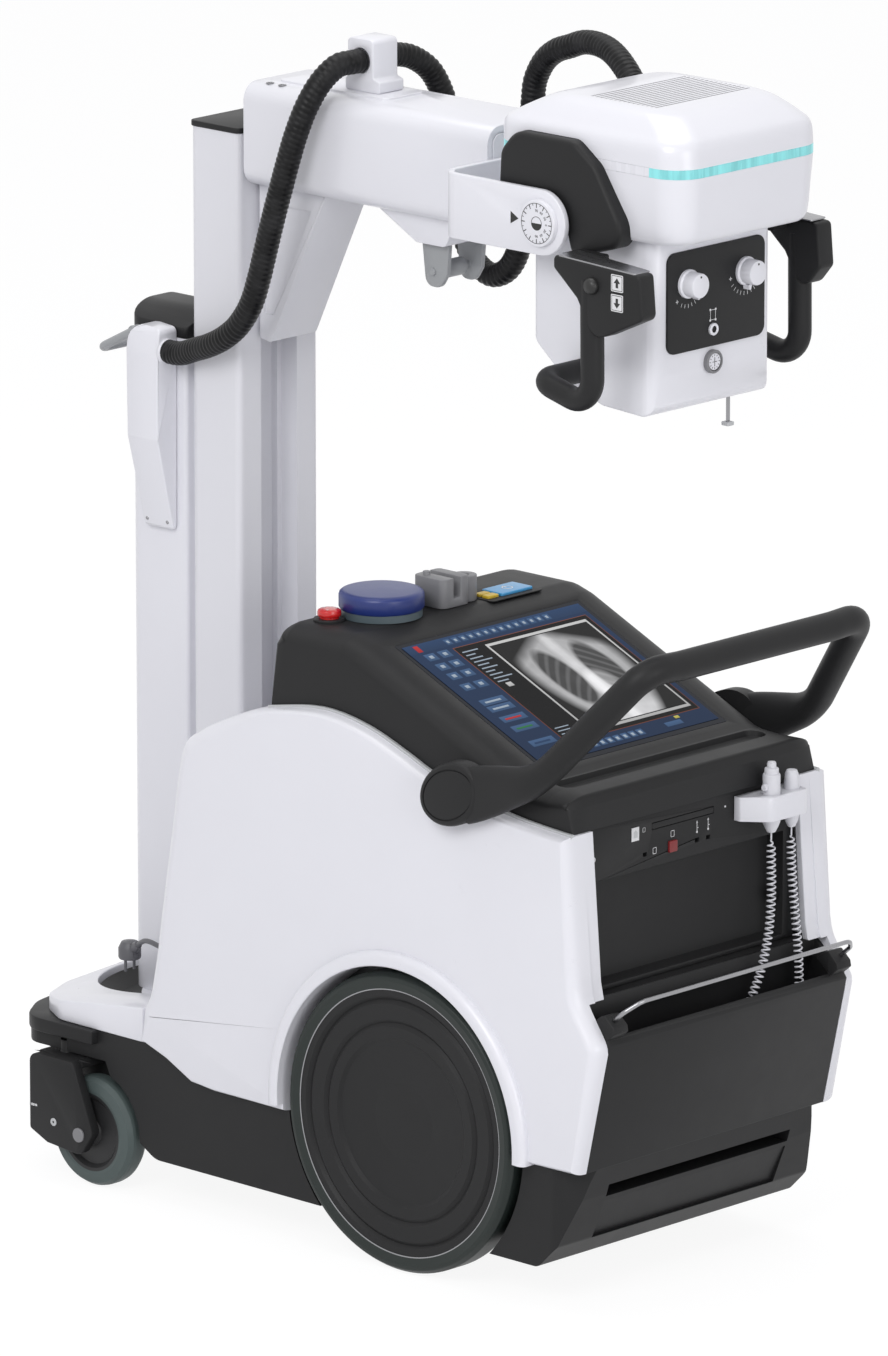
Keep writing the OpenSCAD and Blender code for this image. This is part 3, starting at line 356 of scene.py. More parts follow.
@kept
def hose_black():
    """Corrugated hose with the cloudy sheen of wrapped rubber."""
    finish = Finish("hose_black")
    place = finish.place()
    cloud = finish.noise(place, 38.0, 4.0, 0.6).rise(0.38, 0.72)
    grain = finish.noise(place, 620.0, 3.0)
    colour = finish.blend(cloud, (0.002, 0.002, 0.0025), (0.018, 0.018, 0.019))
    return finish.surface(
        Base_Color=colour, Roughness=(0.36 + cloud * 0.18 + (grain - 0.5) * 0.1).within(),
        Specular_IOR_Level=0.22, Normal=finish.bump(grain + cloud * 2.0, 0.35, 0.15 * MM))


@kept
def light_lens():
    finish = Finish("light_lens")
    place = finish.place()
    streak = finish.node("ShaderNodeMapping", inputs={"Vector": place, "Scale": (60.0, 60.0, 8.0)})
    cloud = finish.noise(streak, 1.0, 3.0)
    x, y, z = finish.split(place)
    shows = (x > 0.592).most(x < 0.315)
    colour = finish.blend(cloud.rise(0.3, 0.7), (0.10, 0.30, 0.31), (0.16, 0.44, 0.45))
    return finish.surface(
        Base_Color=finish.blend(shows, tuple(settings().cover_colour), colour),
        Roughness=(0.2 + cloud * 0.15).within(), Emission_Color=colour,
        Emission_Strength=shows * settings().band_glow)


@kept
def screen_glass():
    finish = Finish("screen_glass")
    place = finish.place()
    smear = finish.noise(place, 16.0, 4.0, 0.7)
    return finish.surface(
        Base_Color=finish.blend(smear * 0.3, (0.004, 0.006, 0.012), (0.010, 0.012, 0.020)),
        Roughness=(0.06 + smear.rise(0.45, 0.8) * 0.14).within(), Coat_Weight=0.1, Coat_Roughness=0.04,
        Specular_IOR_Level=0.1)


def lit(name, colour, glow=0.8):
    """A lit area of the display with a faint vertical shading."""
    finish = Finish(name)
    u, v, _ = finish.split(finish.place("UV"))
    shade = 0.82 + v * 0.3
    return finish.surface(
        Base_Color=(0.004, 0.004, 0.004, 1.0), Roughness=0.2, Specular_IOR_Level=0.06,
        Emission_Color=finish.tint(colour, shade),
        Emission_Strength=glow)


@kept
def display(kind):
    colours = {
        "field": (0.012, 0.035, 0.095), "bar": (0.020, 0.055, 0.14), "key": (0.055, 0.12, 0.25),
        "mark": (0.42, 0.50, 0.60), "black": (0.002, 0.002, 0.003), "rule": (0.22, 0.07, 0.04),
        "red": (0.55, 0.03, 0.03), "green": (0.03, 0.20, 0.06), "yellow": (0.60, 0.52, 0.10),
        "pale": (0.62, 0.62, 0.62)}
    return lit("display_" + kind, colours[kind])


@kept
def display_picture():
    """A generic radiograph: bright trunk, two dark lungs, spine, heart and ribs."""
    finish = Finish("display_picture")
    u, v, _ = finish.split(finish.place("UV"))
    side = (u - 0.5).absolute()
    trunk = 1.0 - (side + ((v - 0.62) ** 2.0) * 0.5).rise(0.40, 0.50)
    shoulder = 1.0 - (v + side * 0.55).rise(0.96, 1.08)
    lung_across = (side - 0.20) / 0.145
    lung_along = (v - 0.53) / 0.34
    lung = 1.0 - (lung_across ** 2.0 + lung_along ** 2.0).rise(0.7, 1.1)
    ribs = ((v + side * 0.62 + side ** 2.0) * 58.0).wave().rise(-0.2, 1.0)
    spine = 1.0 - side.rise(0.02, 0.075)
    heart_across = (u - 0.56) / 0.15
    heart_along = (v - 0.36) / 0.20
    heart = 1.0 - (heart_across ** 2.0 + heart_along ** 2.0).rise(0.5, 1.2)
    belly = 1.0 - (v + side * 0.3).rise(0.14, 0.30)
    cloud = finish.noise(finish.place("UV"), 9.0, 4.0)
    flesh = 0.34 + cloud * 0.22 + belly * 0.2
    air = 0.03 + ribs * 0.07 + cloud * 0.04
    inside = flesh * (1.0 - lung) + air * lung + spine * 0.24 + heart * 0.26
    grey = (inside * trunk * shoulder + 0.012).within()
    return finish.surface(
        Base_Color=(0.004, 0.004, 0.004, 1.0), Roughness=0.2, Specular_IOR_Level=0.06,
        Emission_Color=finish.tint((1.0, 1.0, 1.02), grey), Emission_Strength=0.9)


# Outlines and solids, in millimetres


def rounded_corner(before, at, after, radius, steps):
    """Points of the arc that rounds one corner."""
    first = (before - at).normalized()
    second = (after - at).normalized()
    turn = math.pi - math.acos(max(-1.0, min(1.0, first.dot(second))))
    if radius <= 0 or turn < 0.02:
        return [at]
    room = 0.49 * min((before - at).length, (after - at).length)
    back = min(radius * math.tan(turn / 2), room)
    radius = back / math.tan(turn / 2)
    middle = at + (first + second).normalized() * radius / math.cos(turn / 2)
    start = (at + first * back - middle) / radius
    end = (at + second * back - middle) / radius
    arc = []
    for k in range(steps + 1):
        share = k / steps
        arc.append(middle + radius / math.sin(turn) * (
            math.sin((1 - share) * turn) * start + math.sin(share * turn) * end))
    return arc


def outline(rows, steps=8):
    """A closed outline from rows of x, y and corner radius."""
    points = []
    for i, row in enumerate(rows):
        before, at, after = (Vector(rows[(i + k) % len(rows)][:2]) for k in (-1, 0, 1))
        points += rounded_corner(before, at, after, row[2], steps)
    return points


def route(rows, steps=10):
    """An open route from rows of x, y, z and bend radius."""
    points = [Vector(rows[0][:3])]
    for i in range(1, len(rows) - 1):
        before, at, after = (Vector(rows[i + k][:3]) for k in (-1, 0, 1))
        points += rounded_corner(before, at, after, rows[i][3], steps)
    return points + [Vector(rows[-1][:3])]


def smooth(rows, steps=6):
    """A spline through rows of numbers, the same numbers more closely spaced."""
    rows = [Vector(row) for row in rows]
    ends = [2 * rows[0] - rows[1], *rows, 2 * rows[-1] - rows[-2]]
    fine = []
    for a, b, c, d in zip(ends, ends[1:], ends[2:], ends[3:]):
        for k in range(steps):
            t = k / steps
            fine.append(0.5 * ((2 * b) + (c - a) * t + (2 * a - 5 * b + 4 * c - d) * t * t
                               + (3 * b - a - 3 * c + d) * t ** 3))
    return fine + [rows[-1]]


def inset(points, depth, shares=None):
    """An anticlockwise outline moved inwards, each point by its own share."""
    moved = []
    for i, at in enumerate(points):
        first = (at - points[i - 1]).normalized()
        second = (points[(i + 1) % len(points)] - at).normalized()
        left = Vector((-first.y - second.y, first.x + second.x)).normalized()
        stretch = max(0.6, left.dot(Vector((-first.y, first.x))))
        moved.append(at + left * depth * (shares[i] if shares else 1.0) / stretch)
    return moved


def loft(shape, rings, closed_ends=True):
    """Skins rings of equally many points."""
    rows = [[shape.verts.new(point) for point in ring] for ring in rings]
    count = len(rows[0])
    for low, high in zip(rows, rows[1:]):
        for i in range(count):
            j = (i + 1) % count
            shape.faces.new((low[i], low[j], high[j], high[i]))
    if closed_ends:
        shape.faces.new(rows[0][::-1])
        shape.faces.new(rows[-1])


def sweep(shape, points, section, up=(0, 0, 1)):
    """Carries section(i, distance), a ring of offsets along side and up, along a route."""
    points = [Vector(p) for p in points]
    rings = []
    side = None
    run = 0.0
    for i, at in enumerate(points):
        before, after = points[max(i - 1, 0)], points[min(i + 1, len(points) - 1)]
        run += (at - points[i - 1]).length if i else 0.0
        ahead = (after - before).normalized()
        if side is None:
            side = Vector(up)
        side = (side - ahead * side.dot(ahead)).normalized()
        other = ahead.cross(side)
        rings.append([at + side * a + other * b for a, b in section(i, run)])
    loft(shape, rings)


def round_section(radius, sides):
    def ring(_, run):
        size = radius(run) if callable(radius) else radius
        return [(size * math.cos(math.tau * k / sides), size * math.sin(math.tau * k / sides))
                for k in range(sides)]

    return ring


def lathe(shape, profile, at, axis, sides=64):
    """Turns a profile of radius and distance along an axis."""
    turn = Vector((0, 0, 1)).rotation_difference(Vector(axis)).to_matrix()
    rings = []
    for radius, along in profile:
        rings.append([Vector(at) + turn @ Vector((
            radius * math.cos(math.tau * k / sides), radius * math.sin(math.tau * k / sides), along))
            for k in range(sides)])
    loft(shape, rings + rings[:1] if profile[0][0] > 0 else rings, profile[0][0] == 0)


def plate(shape, points, start, end, edge=0.0, place=None, both=False, steps=5):
    """A plate with rounded edges: an outline in x and z, from y start to y end, rounded at end."""
    sign = 1 if end > start else -1
    turns = [QUARTER * k / steps for k in range(steps + 1)] if edge else [0.0]
    levels = [(edge * (1 - math.cos(a)), end - sign * edge * (1 - math.sin(a))) for a in turns]
    if both and edge:
        levels = [(d, start + end - y) for d, y in levels[::-1]] + levels
    else:
        levels = [(0.0, start)] + levels
    put = place or (lambda a, y, b: Vector((a, y, b)))
    loft(shape, [[put(p.x, y, p.y) for p in inset(points, d)] for d, y in levels])


def capsule(length, width, steps=10):
    """Outline of a long hole with round ends, round the origin."""
    r, half = width / 2, (length - width) / 2
    return [Vector((s * half + r * math.sin(a * s) if s > 0 else s * half - r * math.sin(a),
                    -s * r * math.cos(a)))
            for s in (1, -1) for a in [math.pi * k / steps for k in range(steps + 1)]]


def mesh_of(name, shape, angle=35.0):
    """Turns a bmesh in millimetres into a mesh in metres with smooth shading and crisp edges."""
    bmesh.ops.remove_doubles(shape, verts=shape.verts, dist=0.0005)
    bmesh.ops.recalc_face_normals(shape, faces=shape.faces)
    mesh = bpy.data.meshes.new(name)
    shape.to_mesh(mesh)
    shape.free()
    mesh.transform(Matrix.Scale(MM, 4))
    return shaded(mesh, angle)


def shaded(mesh, angle):
    mesh.shade_smooth()
    mesh.set_sharp_from_angle(angle=math.radians(angle))
    return mesh


def evaluated(mesh, dress):
    """The plain mesh after the modifiers that dress() adds to an object of it."""
    carrier = bpy.data.objects.new("carrier", mesh)
    bpy.context.scene.collection.objects.link(carrier)
    extra = dress(carrier) or []
    bpy.context.view_layer.update()
    graph = bpy.context.evaluated_depsgraph_get()
    result = bpy.data.meshes.new_from_object(carrier.evaluated_get(graph))
    for thing in [carrier, *extra]:
        bpy.data.objects.remove(thing)
    return result


def cut(mesh, tool, operation="DIFFERENCE"):
    def dress(carrier):
        other = bpy.data.objects.new("cutter", tool)
        bpy.context.scene.collection.objects.link(other)
        step = carrier.modifiers.new("cut", "BOOLEAN")
        step.object = other
        step.operation = operation
        step.solver = "MANIFOLD"
        return [other]

    result = evaluated(mesh, dress)
    if not result.polygons:
        raise RuntimeError(mesh.name + ": the cut left nothing")
    return result


def eased(mesh, width, angle=32.0, rounds=2):
    """Rounds the sharp edges of a mesh."""

    def dress(carrier):
        step = carrier.modifiers.new("edges", "BEVEL")
        step.width = width * MM
        step.segments = rounds
        step.limit_method = "ANGLE"
        step.angle_limit = math.radians(angle)
        step.use_clamp_overlap = False
        step.miter_outer = "MITER_ARC"
        step.harden_normals = False

    return shaded(evaluated(mesh, dress), 38.0)


def copy_of(node):
    """A CAD node's mesh, merged and with its flat faces whole."""
    shape = bmesh.new()
    shape.from_mesh(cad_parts[node].data)
    bmesh.ops.remove_doubles(shape, verts=shape.verts, dist=0.00002)
    bmesh.ops.dissolve_limit(shape, angle_limit=math.radians(0.6), verts=shape.verts, edges=shape.edges)
    mesh = bpy.data.meshes.new(node)
    shape.to_mesh(mesh)
    shape.free()
    mesh.materials.clear()
    return mesh


def joined(name, meshes, angle=35.0):
    """Several meshes in metres as one, their finishes kept by face."""
    shape = bmesh.new()
    finishes = []
    for mesh in meshes:
        first = len(shape.faces)
        shape.from_mesh(mesh)
        shape.faces.ensure_lookup_table()
        own = [m for m in mesh.materials] or [None]
        for m in own:
            if m not in finishes:
                finishes.append(m)
        for face in shape.faces[first:]:
            face.material_index = finishes.index(own[min(face.material_index, len(own) - 1)])
    result = bpy.data.meshes.new(name)
    shape.to_mesh(result)
    shape.free()
    for m in finishes:
        result.materials.append(m)
    return shaded(result, angle)


def painted(mesh, finish):
    mesh.materials.clear()
    mesh.materials.append(finish)
    return mesh


def piece(name, mesh, body, finish=None, stands_for=()):
    """Puts a finished mesh in the scene, on its body."""
    thing = bpy.data.objects.new(name, mesh)
    bpy.context.scene.collection.objects.link(thing)
    if finish:
        painted(mesh, finish)
    if body:
        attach(thing, body)
    if stands_for:
        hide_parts(*stands_for)
    return thing


def mirrored(mesh):
    """The same mesh on the machine's other side."""
    other = mesh.copy()
    other.transform(Matrix.Scale(-1, 4, (0, 1, 0)))
    other.flip_normals()
    return other


# Repeats


REPEAT = {}


def repeat_tree():
    """Geometry Nodes that set one item Count times, each a Step and a Turn further."""
    if REPEAT:
        return REPEAT
    tree = bpy.data.node_groups.new("repeat_item", "GeometryNodeTree")
    tree.interface.new_socket("Geometry", in_out="OUTPUT", socket_type="NodeSocketGeometry")
    kinds = {"Item": "Object", "Count": "Int", "Step": "Vector", "Turn": "Float", "Finish": "Material"}
    for name, kind in kinds.items():
        socket = tree.interface.new_socket(name, in_out="INPUT", socket_type="NodeSocket" + kind)
        REPEAT[name] = socket.identifier

    def add(kind, **links):
        node = tree.nodes.new(kind)
        for name, source in links.items():
            tree.links.new(source, node.inputs[name.replace("_", " ")])
        return node

    given = add("NodeGroupInput").outputs
    line = add("GeometryNodeMeshLine", Count=given["Count"], Offset=given["Step"])
    item = add("GeometryNodeObjectInfo", Object=given["Item"])
    index = add("GeometryNodeInputIndex")
    angle = add("ShaderNodeMath")
    angle.operation = "MULTIPLY"
    tree.links.new(index.outputs[0], angle.inputs[0])
    tree.links.new(given["Turn"], angle.inputs[1])
    turned = add("ShaderNodeCombineXYZ", Z=angle.outputs[0])
    spread = add("GeometryNodeInstanceOnPoints", Points=line.outputs["Mesh"],
                 Instance=item.outputs["Geometry"], Rotation=turned.outputs[0])
    solid = add("GeometryNodeRealizeInstances", Geometry=spread.outputs["Instances"])
    dressed = add("GeometryNodeSetMaterial", Geometry=solid.outputs["Geometry"],
                  Material=given["Finish"])
    result = tree.nodes.new("NodeGroupOutput")
    tree.links.new(dressed.outputs["Geometry"], result.inputs["Geometry"])
    REPEAT["tree"] = tree
    return REPEAT


def repeated(name, item, count, finish, step=(0, 0, 0), turn=0.0, place=None):
    """Item is a mesh in metres. The row is made round the origin and then put in its place."""
    names = repeat_tree()

    def dress(carrier):
        source = bpy.data.objects.new(name + "_item", item)
        bpy.context.scene.collection.objects.link(source)
        step_of = carrier.modifiers.new("repeat", "NODES")
        step_of.node_group = names["tree"]
        for label, value in (("Item", source), ("Count", count), ("Step", [s * MM for s in step]),
                             ("Turn", turn), ("Finish", finish)):
            step_of[names[label]] = value
        return [source]

    row = evaluated(bpy.data.meshes.new(name), dress)
    if place:
        row.transform(place)
    return shaded(row, 35.0)


def set_at(at, x_axis, y_axis):
    """Matrix that puts a flat drawing's x and y along two directions, at a point in millimetres."""
    x_axis, y_axis = Vector(x_axis).normalized(), Vector(y_axis).normalized()
    turn = Matrix((x_axis, y_axis, x_axis.cross(y_axis))).transposed().to_4x4()
    return Matrix.Translation(Vector(at) * MM) @ turn


def flat(name, points, thickness, place, finish):
    """A thin flat piece drawn in x and y, in millimetres."""
    shape = bmesh.new()
    loft(shape, [[Vector((p[0], p[1], z)) for p in points] for z in (0.0, thickness)])
    mesh = mesh_of(name, shape)
    mesh.transform(place)
    return painted(mesh, finish)


def box_points(x0, y0, x1, y1):
    return [Vector(p) for p in ((x0, y0), (x1, y0), (x1, y1), (x0, y1))]


def ring_points(radius, count=48):
    return [Vector((radius * math.cos(math.tau * k / count), radius * math.sin(math.tau * k / count)))
            for k in range(count)]


def flat_ring(name, outer, inner, thickness, place, finish, count=64):
    shape = bmesh.new()
    rings = [[(r * math.cos(math.tau * k / count), r * math.sin(math.tau * k / count), z)
              for k in range(count)] for r, z in
             ((inner, 0.0), (outer, 0.0), (outer, thickness), (inner, thickness), (inner, 0.0))]
    loft(shape, rings, closed_ends=False)
    mesh = mesh_of(name, shape)
    mesh.transform(place)
    return painted(mesh, finish)


def words(name, text, size, place, finish, thickness=0.15):
    """Numbers on a dial, as a thin mesh centred on its place."""
    line = bpy.data.curves.new(name, "FONT")
    line.body = text
    line.size = size * MM
    line.align_x = "CENTER"
    line.align_y = "CENTER"
    line.extrude = thickness * MM
    line.resolution_u = 2
    carrier = bpy.data.objects.new(name, line)
    bpy.context.scene.collection.objects.link(carrier)
    bpy.context.view_layer.update()
    graph = bpy.context.evaluated_depsgraph_get()
    mesh = bpy.data.meshes.new_from_object(carrier.evaluated_get(graph))
    bpy.data.objects.remove(carrier)
    mesh.transform(place)
    return painted(mesh, finish)


def block(x0, x1, y0, y1, z0, z1):
    """A plain cutter for openings."""
    shape = bmesh.new()
    loft(shape, [[Vector((x, y, z)) for x, y in ((x0, y0), (x1, y0), (x1, y1), (x0, y1))]
                 for z in (z0, z1)])
    return mesh_of("cutter", shape)


# The machine's own lines, in millimetres


SEAT = 0.3
FRONT_LINE = [(-353, 308), (-338, 339), (-323, 412), (-312, 481), (-290, 610), (-267, 737)]
TOP_LINE = [(-229, 775), (-153, 812), (-86, 835), (0, 850), (60, 851), (131, 838), (200, 814),
            (262, 790), (340, 770), (420, 755), (484, 748), (545, 744)]
REAR_LINE = [(566, 514), (574, 486), (607, 436), (612, 418)]
UNDER_LINE = [(-192, 204), (-241, 209), (-295, 236), (-341, 252)]
REAR_FOOT = (568, 222.3)
WHEEL_AT = (206, 235)
COWL_OUT = 297
COWL_IN = 255
ARCH_R = 247
SCREEN_TILT = math.radians(24)
SLOPE_TOP = Vector((96, 958))
SLOPE_DOWN = Vector((math.cos(SCREEN_TILT), -math.sin(SCREEN_TILT)))
SLOPE_FOOT = SLOPE_TOP + SLOPE_DOWN * 372
SCREEN_MIDDLE = (SLOPE_TOP + SLOPE_FOOT) / 2
TILT_AXIS = (405, 1650)

HOSE_COLUMN = [(-469.7, -104, 1305), (-452, -104, 1305), (-432, -107, 1309), (-402, -113, 1320),
               (-365, -122, 1333), (-325, -129, 1352), (-290, -132, 1378), (-262, -133, 1415),
               (-244, -133, 1460), (-230, -132, 1508), (-215, -131, 1558), (-200, -130, 1605),
               (-186, -128, 1650), (-172, -124, 1695), (-158, -115, 1738), (-145, -98, 1774),
               (-136, -72, 1796), (-130, -45, 1799), (-130, -28, 1799)]
HOSE_LOOP = [(-130, 28, 1799), (-128, 50, 1798), (-122, 80, 1790), (-112, 108, 1768), (-104, 126, 1732),
             (-100, 136, 1690), (-98, 140, 1640), (-94, 142, 1590), (-86, 143, 1545), (-70, 144, 1500),
             (-46, 144, 1468), (-14, 144, 1455), (18, 144, 1468), (40, 144, 1500), (52, 144, 1545),
             (58, 143, 1590), (62, 142, 1640), (67, 142, 1695), (72, 142, 1735)]
HOSE_BRIDGE = [(72, 142, 1735.3), (76, 142, 1767.3), (86, 142, 1790), (102, 141, 1810),
               (126, 139, 1826), (154, 137, 1836)]
HOSE_HEAD = [(154.3, 137, 1836.1), (182, 135, 1846), (212, 131, 1849), (242, 125, 1846),
             (270, 116, 1838), (298, 106, 1824), (322, 97, 1808)]
CURLY = [(561, 152, 671.7), (561, 152, 640), (563, 151, 600), (565, 148, 560), (568, 138, 510),
         (571, 118, 460), (571, 96, 420), (567, 84, 380), (561, 86, 345), (556, 104, 322),
         (554, 130, 312), (554, 158, 312), (557, 184, 326), (562, 202, 352), (568, 208, 390),
         (571, 207, 430), (571, 204, 480), (568, 201, 530), (564, 199, 580), (561, 198, 630),
         (561, 198, 671.7)]
LEAD = [(-354, -238, 393.3), (-367, -238, 396), (-384, -236, 398), (-402, -231, 396),
        (-418, -224, 389), (-430, -218, 382)]


# Settings


class XrayUnitSettings(bpy.types.PropertyGroup):
    """Sizes and colours that a user may change."""

    cover_colour: bpy.props.FloatVectorProperty(
        name="Cover colour", description="Moulded covers of cart, arm and head", subtype="COLOR",
        size=3, min=0, max=1, default=(0.765, 0.765, 0.81))
    column_colour: bpy.props.FloatVectorProperty(
        name="Column colour", description="Powder coat of column and arm", subtype="COLOR",
        size=3, min=0, max=1, default=(0.735, 0.735, 0.775))
    dark_colour: bpy.props.FloatVectorProperty(
        name="Dark plastic colour", description="Chassis, console, handle and grips",
        subtype="COLOR", size=3, min=0, max=1, default=(0.0165, 0.0165, 0.0172))
    lid_colour: bpy.props.FloatVectorProperty(
        name="Lid colour", description="Lid of the canister on the console", subtype="COLOR",
        size=3, min=0, max=1, default=(0.012, 0.028, 0.165))
    band_glow: bpy.props.FloatProperty(
        name="Light band glow", description="Strength of the head's light band", default=0.9,
        min=0, max=5)
    hose_d: bpy.props.FloatProperty(
        name="Hose diameter", description="Outside of the corrugated hose", default=38 * MM,
        subtype="DISTANCE", unit="LENGTH")
    hose_pitch: bpy.props.FloatProperty(
        name="Hose pitch", description="From one rib of the hose to the next", default=8.5 * MM,
        subtype="DISTANCE", unit="LENGTH")
    cord_d: bpy.props.FloatProperty(
        name="Curly cord diameter", description="Thickness of the hand switch's cord",
        default=2.8 * MM, subtype="DISTANCE", unit="LENGTH")
    coil_d: bpy.props.FloatProperty(
        name="Curl diameter", description="Outside of the cord's curls", default=15 * MM,
        subtype="DISTANCE", unit="LENGTH")
    coil_pitch: bpy.props.FloatProperty(
        name="Curl pitch", description="From one curl to the next", default=8.6 * MM,
        subtype="DISTANCE", unit="LENGTH")
    lead_d: bpy.props.FloatProperty(
        name="Mains lead diameter", description="Thickness of the lead", default=8 * MM,
        subtype="DISTANCE", unit="LENGTH")


def settings():
    return bpy.context.scene.xray_unit


# Stage


def make_camera():
    lens = bpy.data.cameras.new("photo_camera")
    lens.lens = 317.87
    lens.sensor_width = 36
    lens.clip_end = 200
    camera = bpy.data.objects.new("photo_camera", lens)
    bpy.context.scene.collection.objects.link(camera)
    camera.location = (12.291, -12.982, 5.330)
    camera.rotation_euler = Vector((-0.6662, 0.7048, -0.2433)).to_track_quat("-Z", "Y").to_euler()
    bpy.context.scene.camera = camera


def make_lamp(name, at, towards, size, power):
    lamp = bpy.data.lights.new(name, "AREA")
    lamp.shape = "DISK"
    lamp.size = size
    lamp.energy = power
    thing = bpy.data.objects.new(name, lamp)
    bpy.context.scene.collection.objects.link(thing)
    thing.location = at
    thing.rotation_euler = (Vector(towards) - Vector(at)).to_track_quat("-Z", "Y").to_euler()


def make_world():
    world = bpy.data.worlds.new("studio")
    bpy.context.scene.world = world
    world.use_nodes = True
    tree = world.node_tree
    tree.nodes.clear()
    path = tree.nodes.new("ShaderNodeLightPath")
    seen = Value(tree, path.outputs["Is Camera Ray"]).most(Value(tree, path.outputs["Is Glossy Ray"]))
    seen = seen.most(Value(tree, path.outputs["Is Transmission Ray"]))
    soft, bright = (tree.nodes.new("ShaderNodeBackground") for _ in range(2))
    soft.inputs["Color"].default_value = (0.97, 0.97, 1.0, 1.0)
    soft.inputs["Strength"].default_value = 0.52
    bright.inputs["Color"].default_value = (1.0, 1.0, 1.0, 1.0)
    mix = tree.nodes.new("ShaderNodeMixShader")
    feed(tree, mix.inputs[0], seen)
    tree.links.new(soft.outputs[0], mix.inputs[1])
    tree.links.new(bright.outputs[0], mix.inputs[2])
    tree.links.new(mix.outputs[0], tree.nodes.new("ShaderNodeOutputWorld").inputs["Surface"])


def floor_finish():
    finish = Finish("studio_floor")
    path = finish.node("ShaderNodeLightPath")
    rays = path.socket.node.outputs
    seen = Value(finish.tree, rays["Is Camera Ray"]).most(Value(finish.tree, rays["Is Glossy Ray"]))
    seen = seen.most(Value(finish.tree, rays["Is Transmission Ray"]))
    matt = finish.node("ShaderNodeBsdfDiffuse", inputs={"Color": (0.86, 0.86, 0.87, 1.0)})
    bright = finish.node("ShaderNodeEmission", inputs={
        "Color": (1.0, 1.0, 1.0, 1.0), "Strength": 1.08})
    mix = finish.node("ShaderNodeMixShader", inputs={0: seen * 0.84, 1: matt, 2: bright})
    finish.node("ShaderNodeOutputMaterial", inputs={"Surface": mix})
    return finish.material


def make_stage():
    bpy.context.scene.view_settings.view_transform = "Standard"
    make_camera()
    make_world()
    make_lamp("key", (2.5, -7.0, 6.0), (0, 0, 0.9), 4.5, 300)
    make_lamp("back_fill", (7.5, -1.5, 2.6), (0, 0, 0.9), 4.0, 110)
    make_lamp("top", (-0.5, 0.5, 6.5), (0, 0, 0.8), 4.5, 110)
    shape = bmesh.new()
    loft(shape, [[(-40, -40, 0), (40, -40, 0), (40, 40, 0), (-40, 40, 0)]][:1], closed_ends=False)
    shape.faces.new(list(shape.verts))
    mesh = bpy.data.meshes.new("floor")
    shape.to_mesh(mesh)
    shape.free()
    mesh.materials.append(floor_finish())
    floor = bpy.data.objects.new("floor", mesh)
    bpy.context.scene.collection.objects.link(floor)
    floor.location.z = -0.0005


# Cords


def length_of(points):
    return sum((Vector(b) - Vector(a)).length for a, b in zip(points, points[1:]))


def even(points, gap, splined=True):
    """Points of a route at an even gap."""
    fine = smooth(points, 24) if splined else [Vector(p) for p in points]
    spaced = [fine[0]]
    run = 0.0
    for a, b in zip(fine, fine[1:]):
        step = (b - a).length
        while run + step >= gap:
            a = a + (b - a) * ((gap - run) / step)
            step = (b - a).length
            spaced.append(a)
            run = 0.0
        run += step
    if (spaced[-1] - fine[-1]).length > gap * 0.4:
        spaced.append(fine[-1])
    else:
        spaced[-1] = fine[-1]
    return spaced


def hose_stretch(name, points, start_run):
    """One stretch of the hose with its spiral ribs, which go on from the stretch before."""
    look = settings()
    radius, pitch = look.hose_d / MM / 2, look.hose_pitch / MM
    line = even(points, pitch / 5)
    sides = 28

    def ring(_, run):
        offsets = []
        for k in range(sides):
            angle = math.tau * k / sides
            rib = 0.5 - 0.5 * math.cos(math.tau * (run + start_run) / pitch + angle)
            size = radius - 1.25 * rib ** 1.6
            offsets.append((size * math.cos(angle), size * math.sin(angle)))
        return offsets

    shape = bmesh.new()
    sweep(shape, line, ring)
    return mesh_of(name, shape, 60), line


def make_hoses():
    rows = [("corrugated_hose_column", HOSE_COLUMN, "hose_column", ("column", "arm"),
             ((-0.43, -0.1, 1.31), (-0.15, -0.1, 1.76))),
            ("corrugated_hose_loop", HOSE_LOOP, "hose_loop", ("arm", "inner_arm"),
             ((-0.10, 0.14, 1.6), (0.045, 0.14, 1.6))),
            ("corrugated_hose_bridge", HOSE_BRIDGE, "hose_bridge", ("inner_arm", "yoke"),
             ((0.074, 0.142, 1.75), (0.150, 0.137, 1.835))),
            ("corrugated_hose_head", HOSE_HEAD, "hose_head", ("yoke", "head"),
             ((0.16, 0.137, 1.838), (0.29, 0.11, 1.83)))]
    run = 0.0
    made = {}
    for name, points, node, bodies, (start, end) in rows:
        mesh, line = hose_stretch(name, points, run)
        run += length_of(line)
        hose = piece(name, mesh, None, hose_black(), [node])
        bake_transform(hose)
        made[node] = (hose, line)
    for node, rest in (("hose_column", []), ("hose_loop", ["hose_bridge"])):
        hose, line = made[node]
        line[0] * MM
        [p * MM for p in line]


def curls(points, coil, pitch, plain):
    """A helix round a route, with plain straight ends, 14 points to a turn."""
    line = even(points, pitch / 14)
    helix = []
    side = Vector((1, 0, 0))
    total = length_of(line)
    run = 0.0
    for i, at in enumerate(line):
        before, after = line[max(i - 1, 0)], line[min(i + 1, len(line) - 1)]
        run += (at - line[i - 1]).length if i else 0.0
        ahead = (after - before).normalized()
        side = (side - ahead * side.dot(ahead)).normalized()
        other = ahead.cross(side)
        grown = max(0.0, min(1.0, (min(run, total - run) - plain) / 14.0))
        size = coil * grown * grown * (3 - 2 * grown)
        angle = math.tau * run / pitch
        helix.append(at + side * size * math.cos(angle) + other * size * math.sin(angle))
    return helix


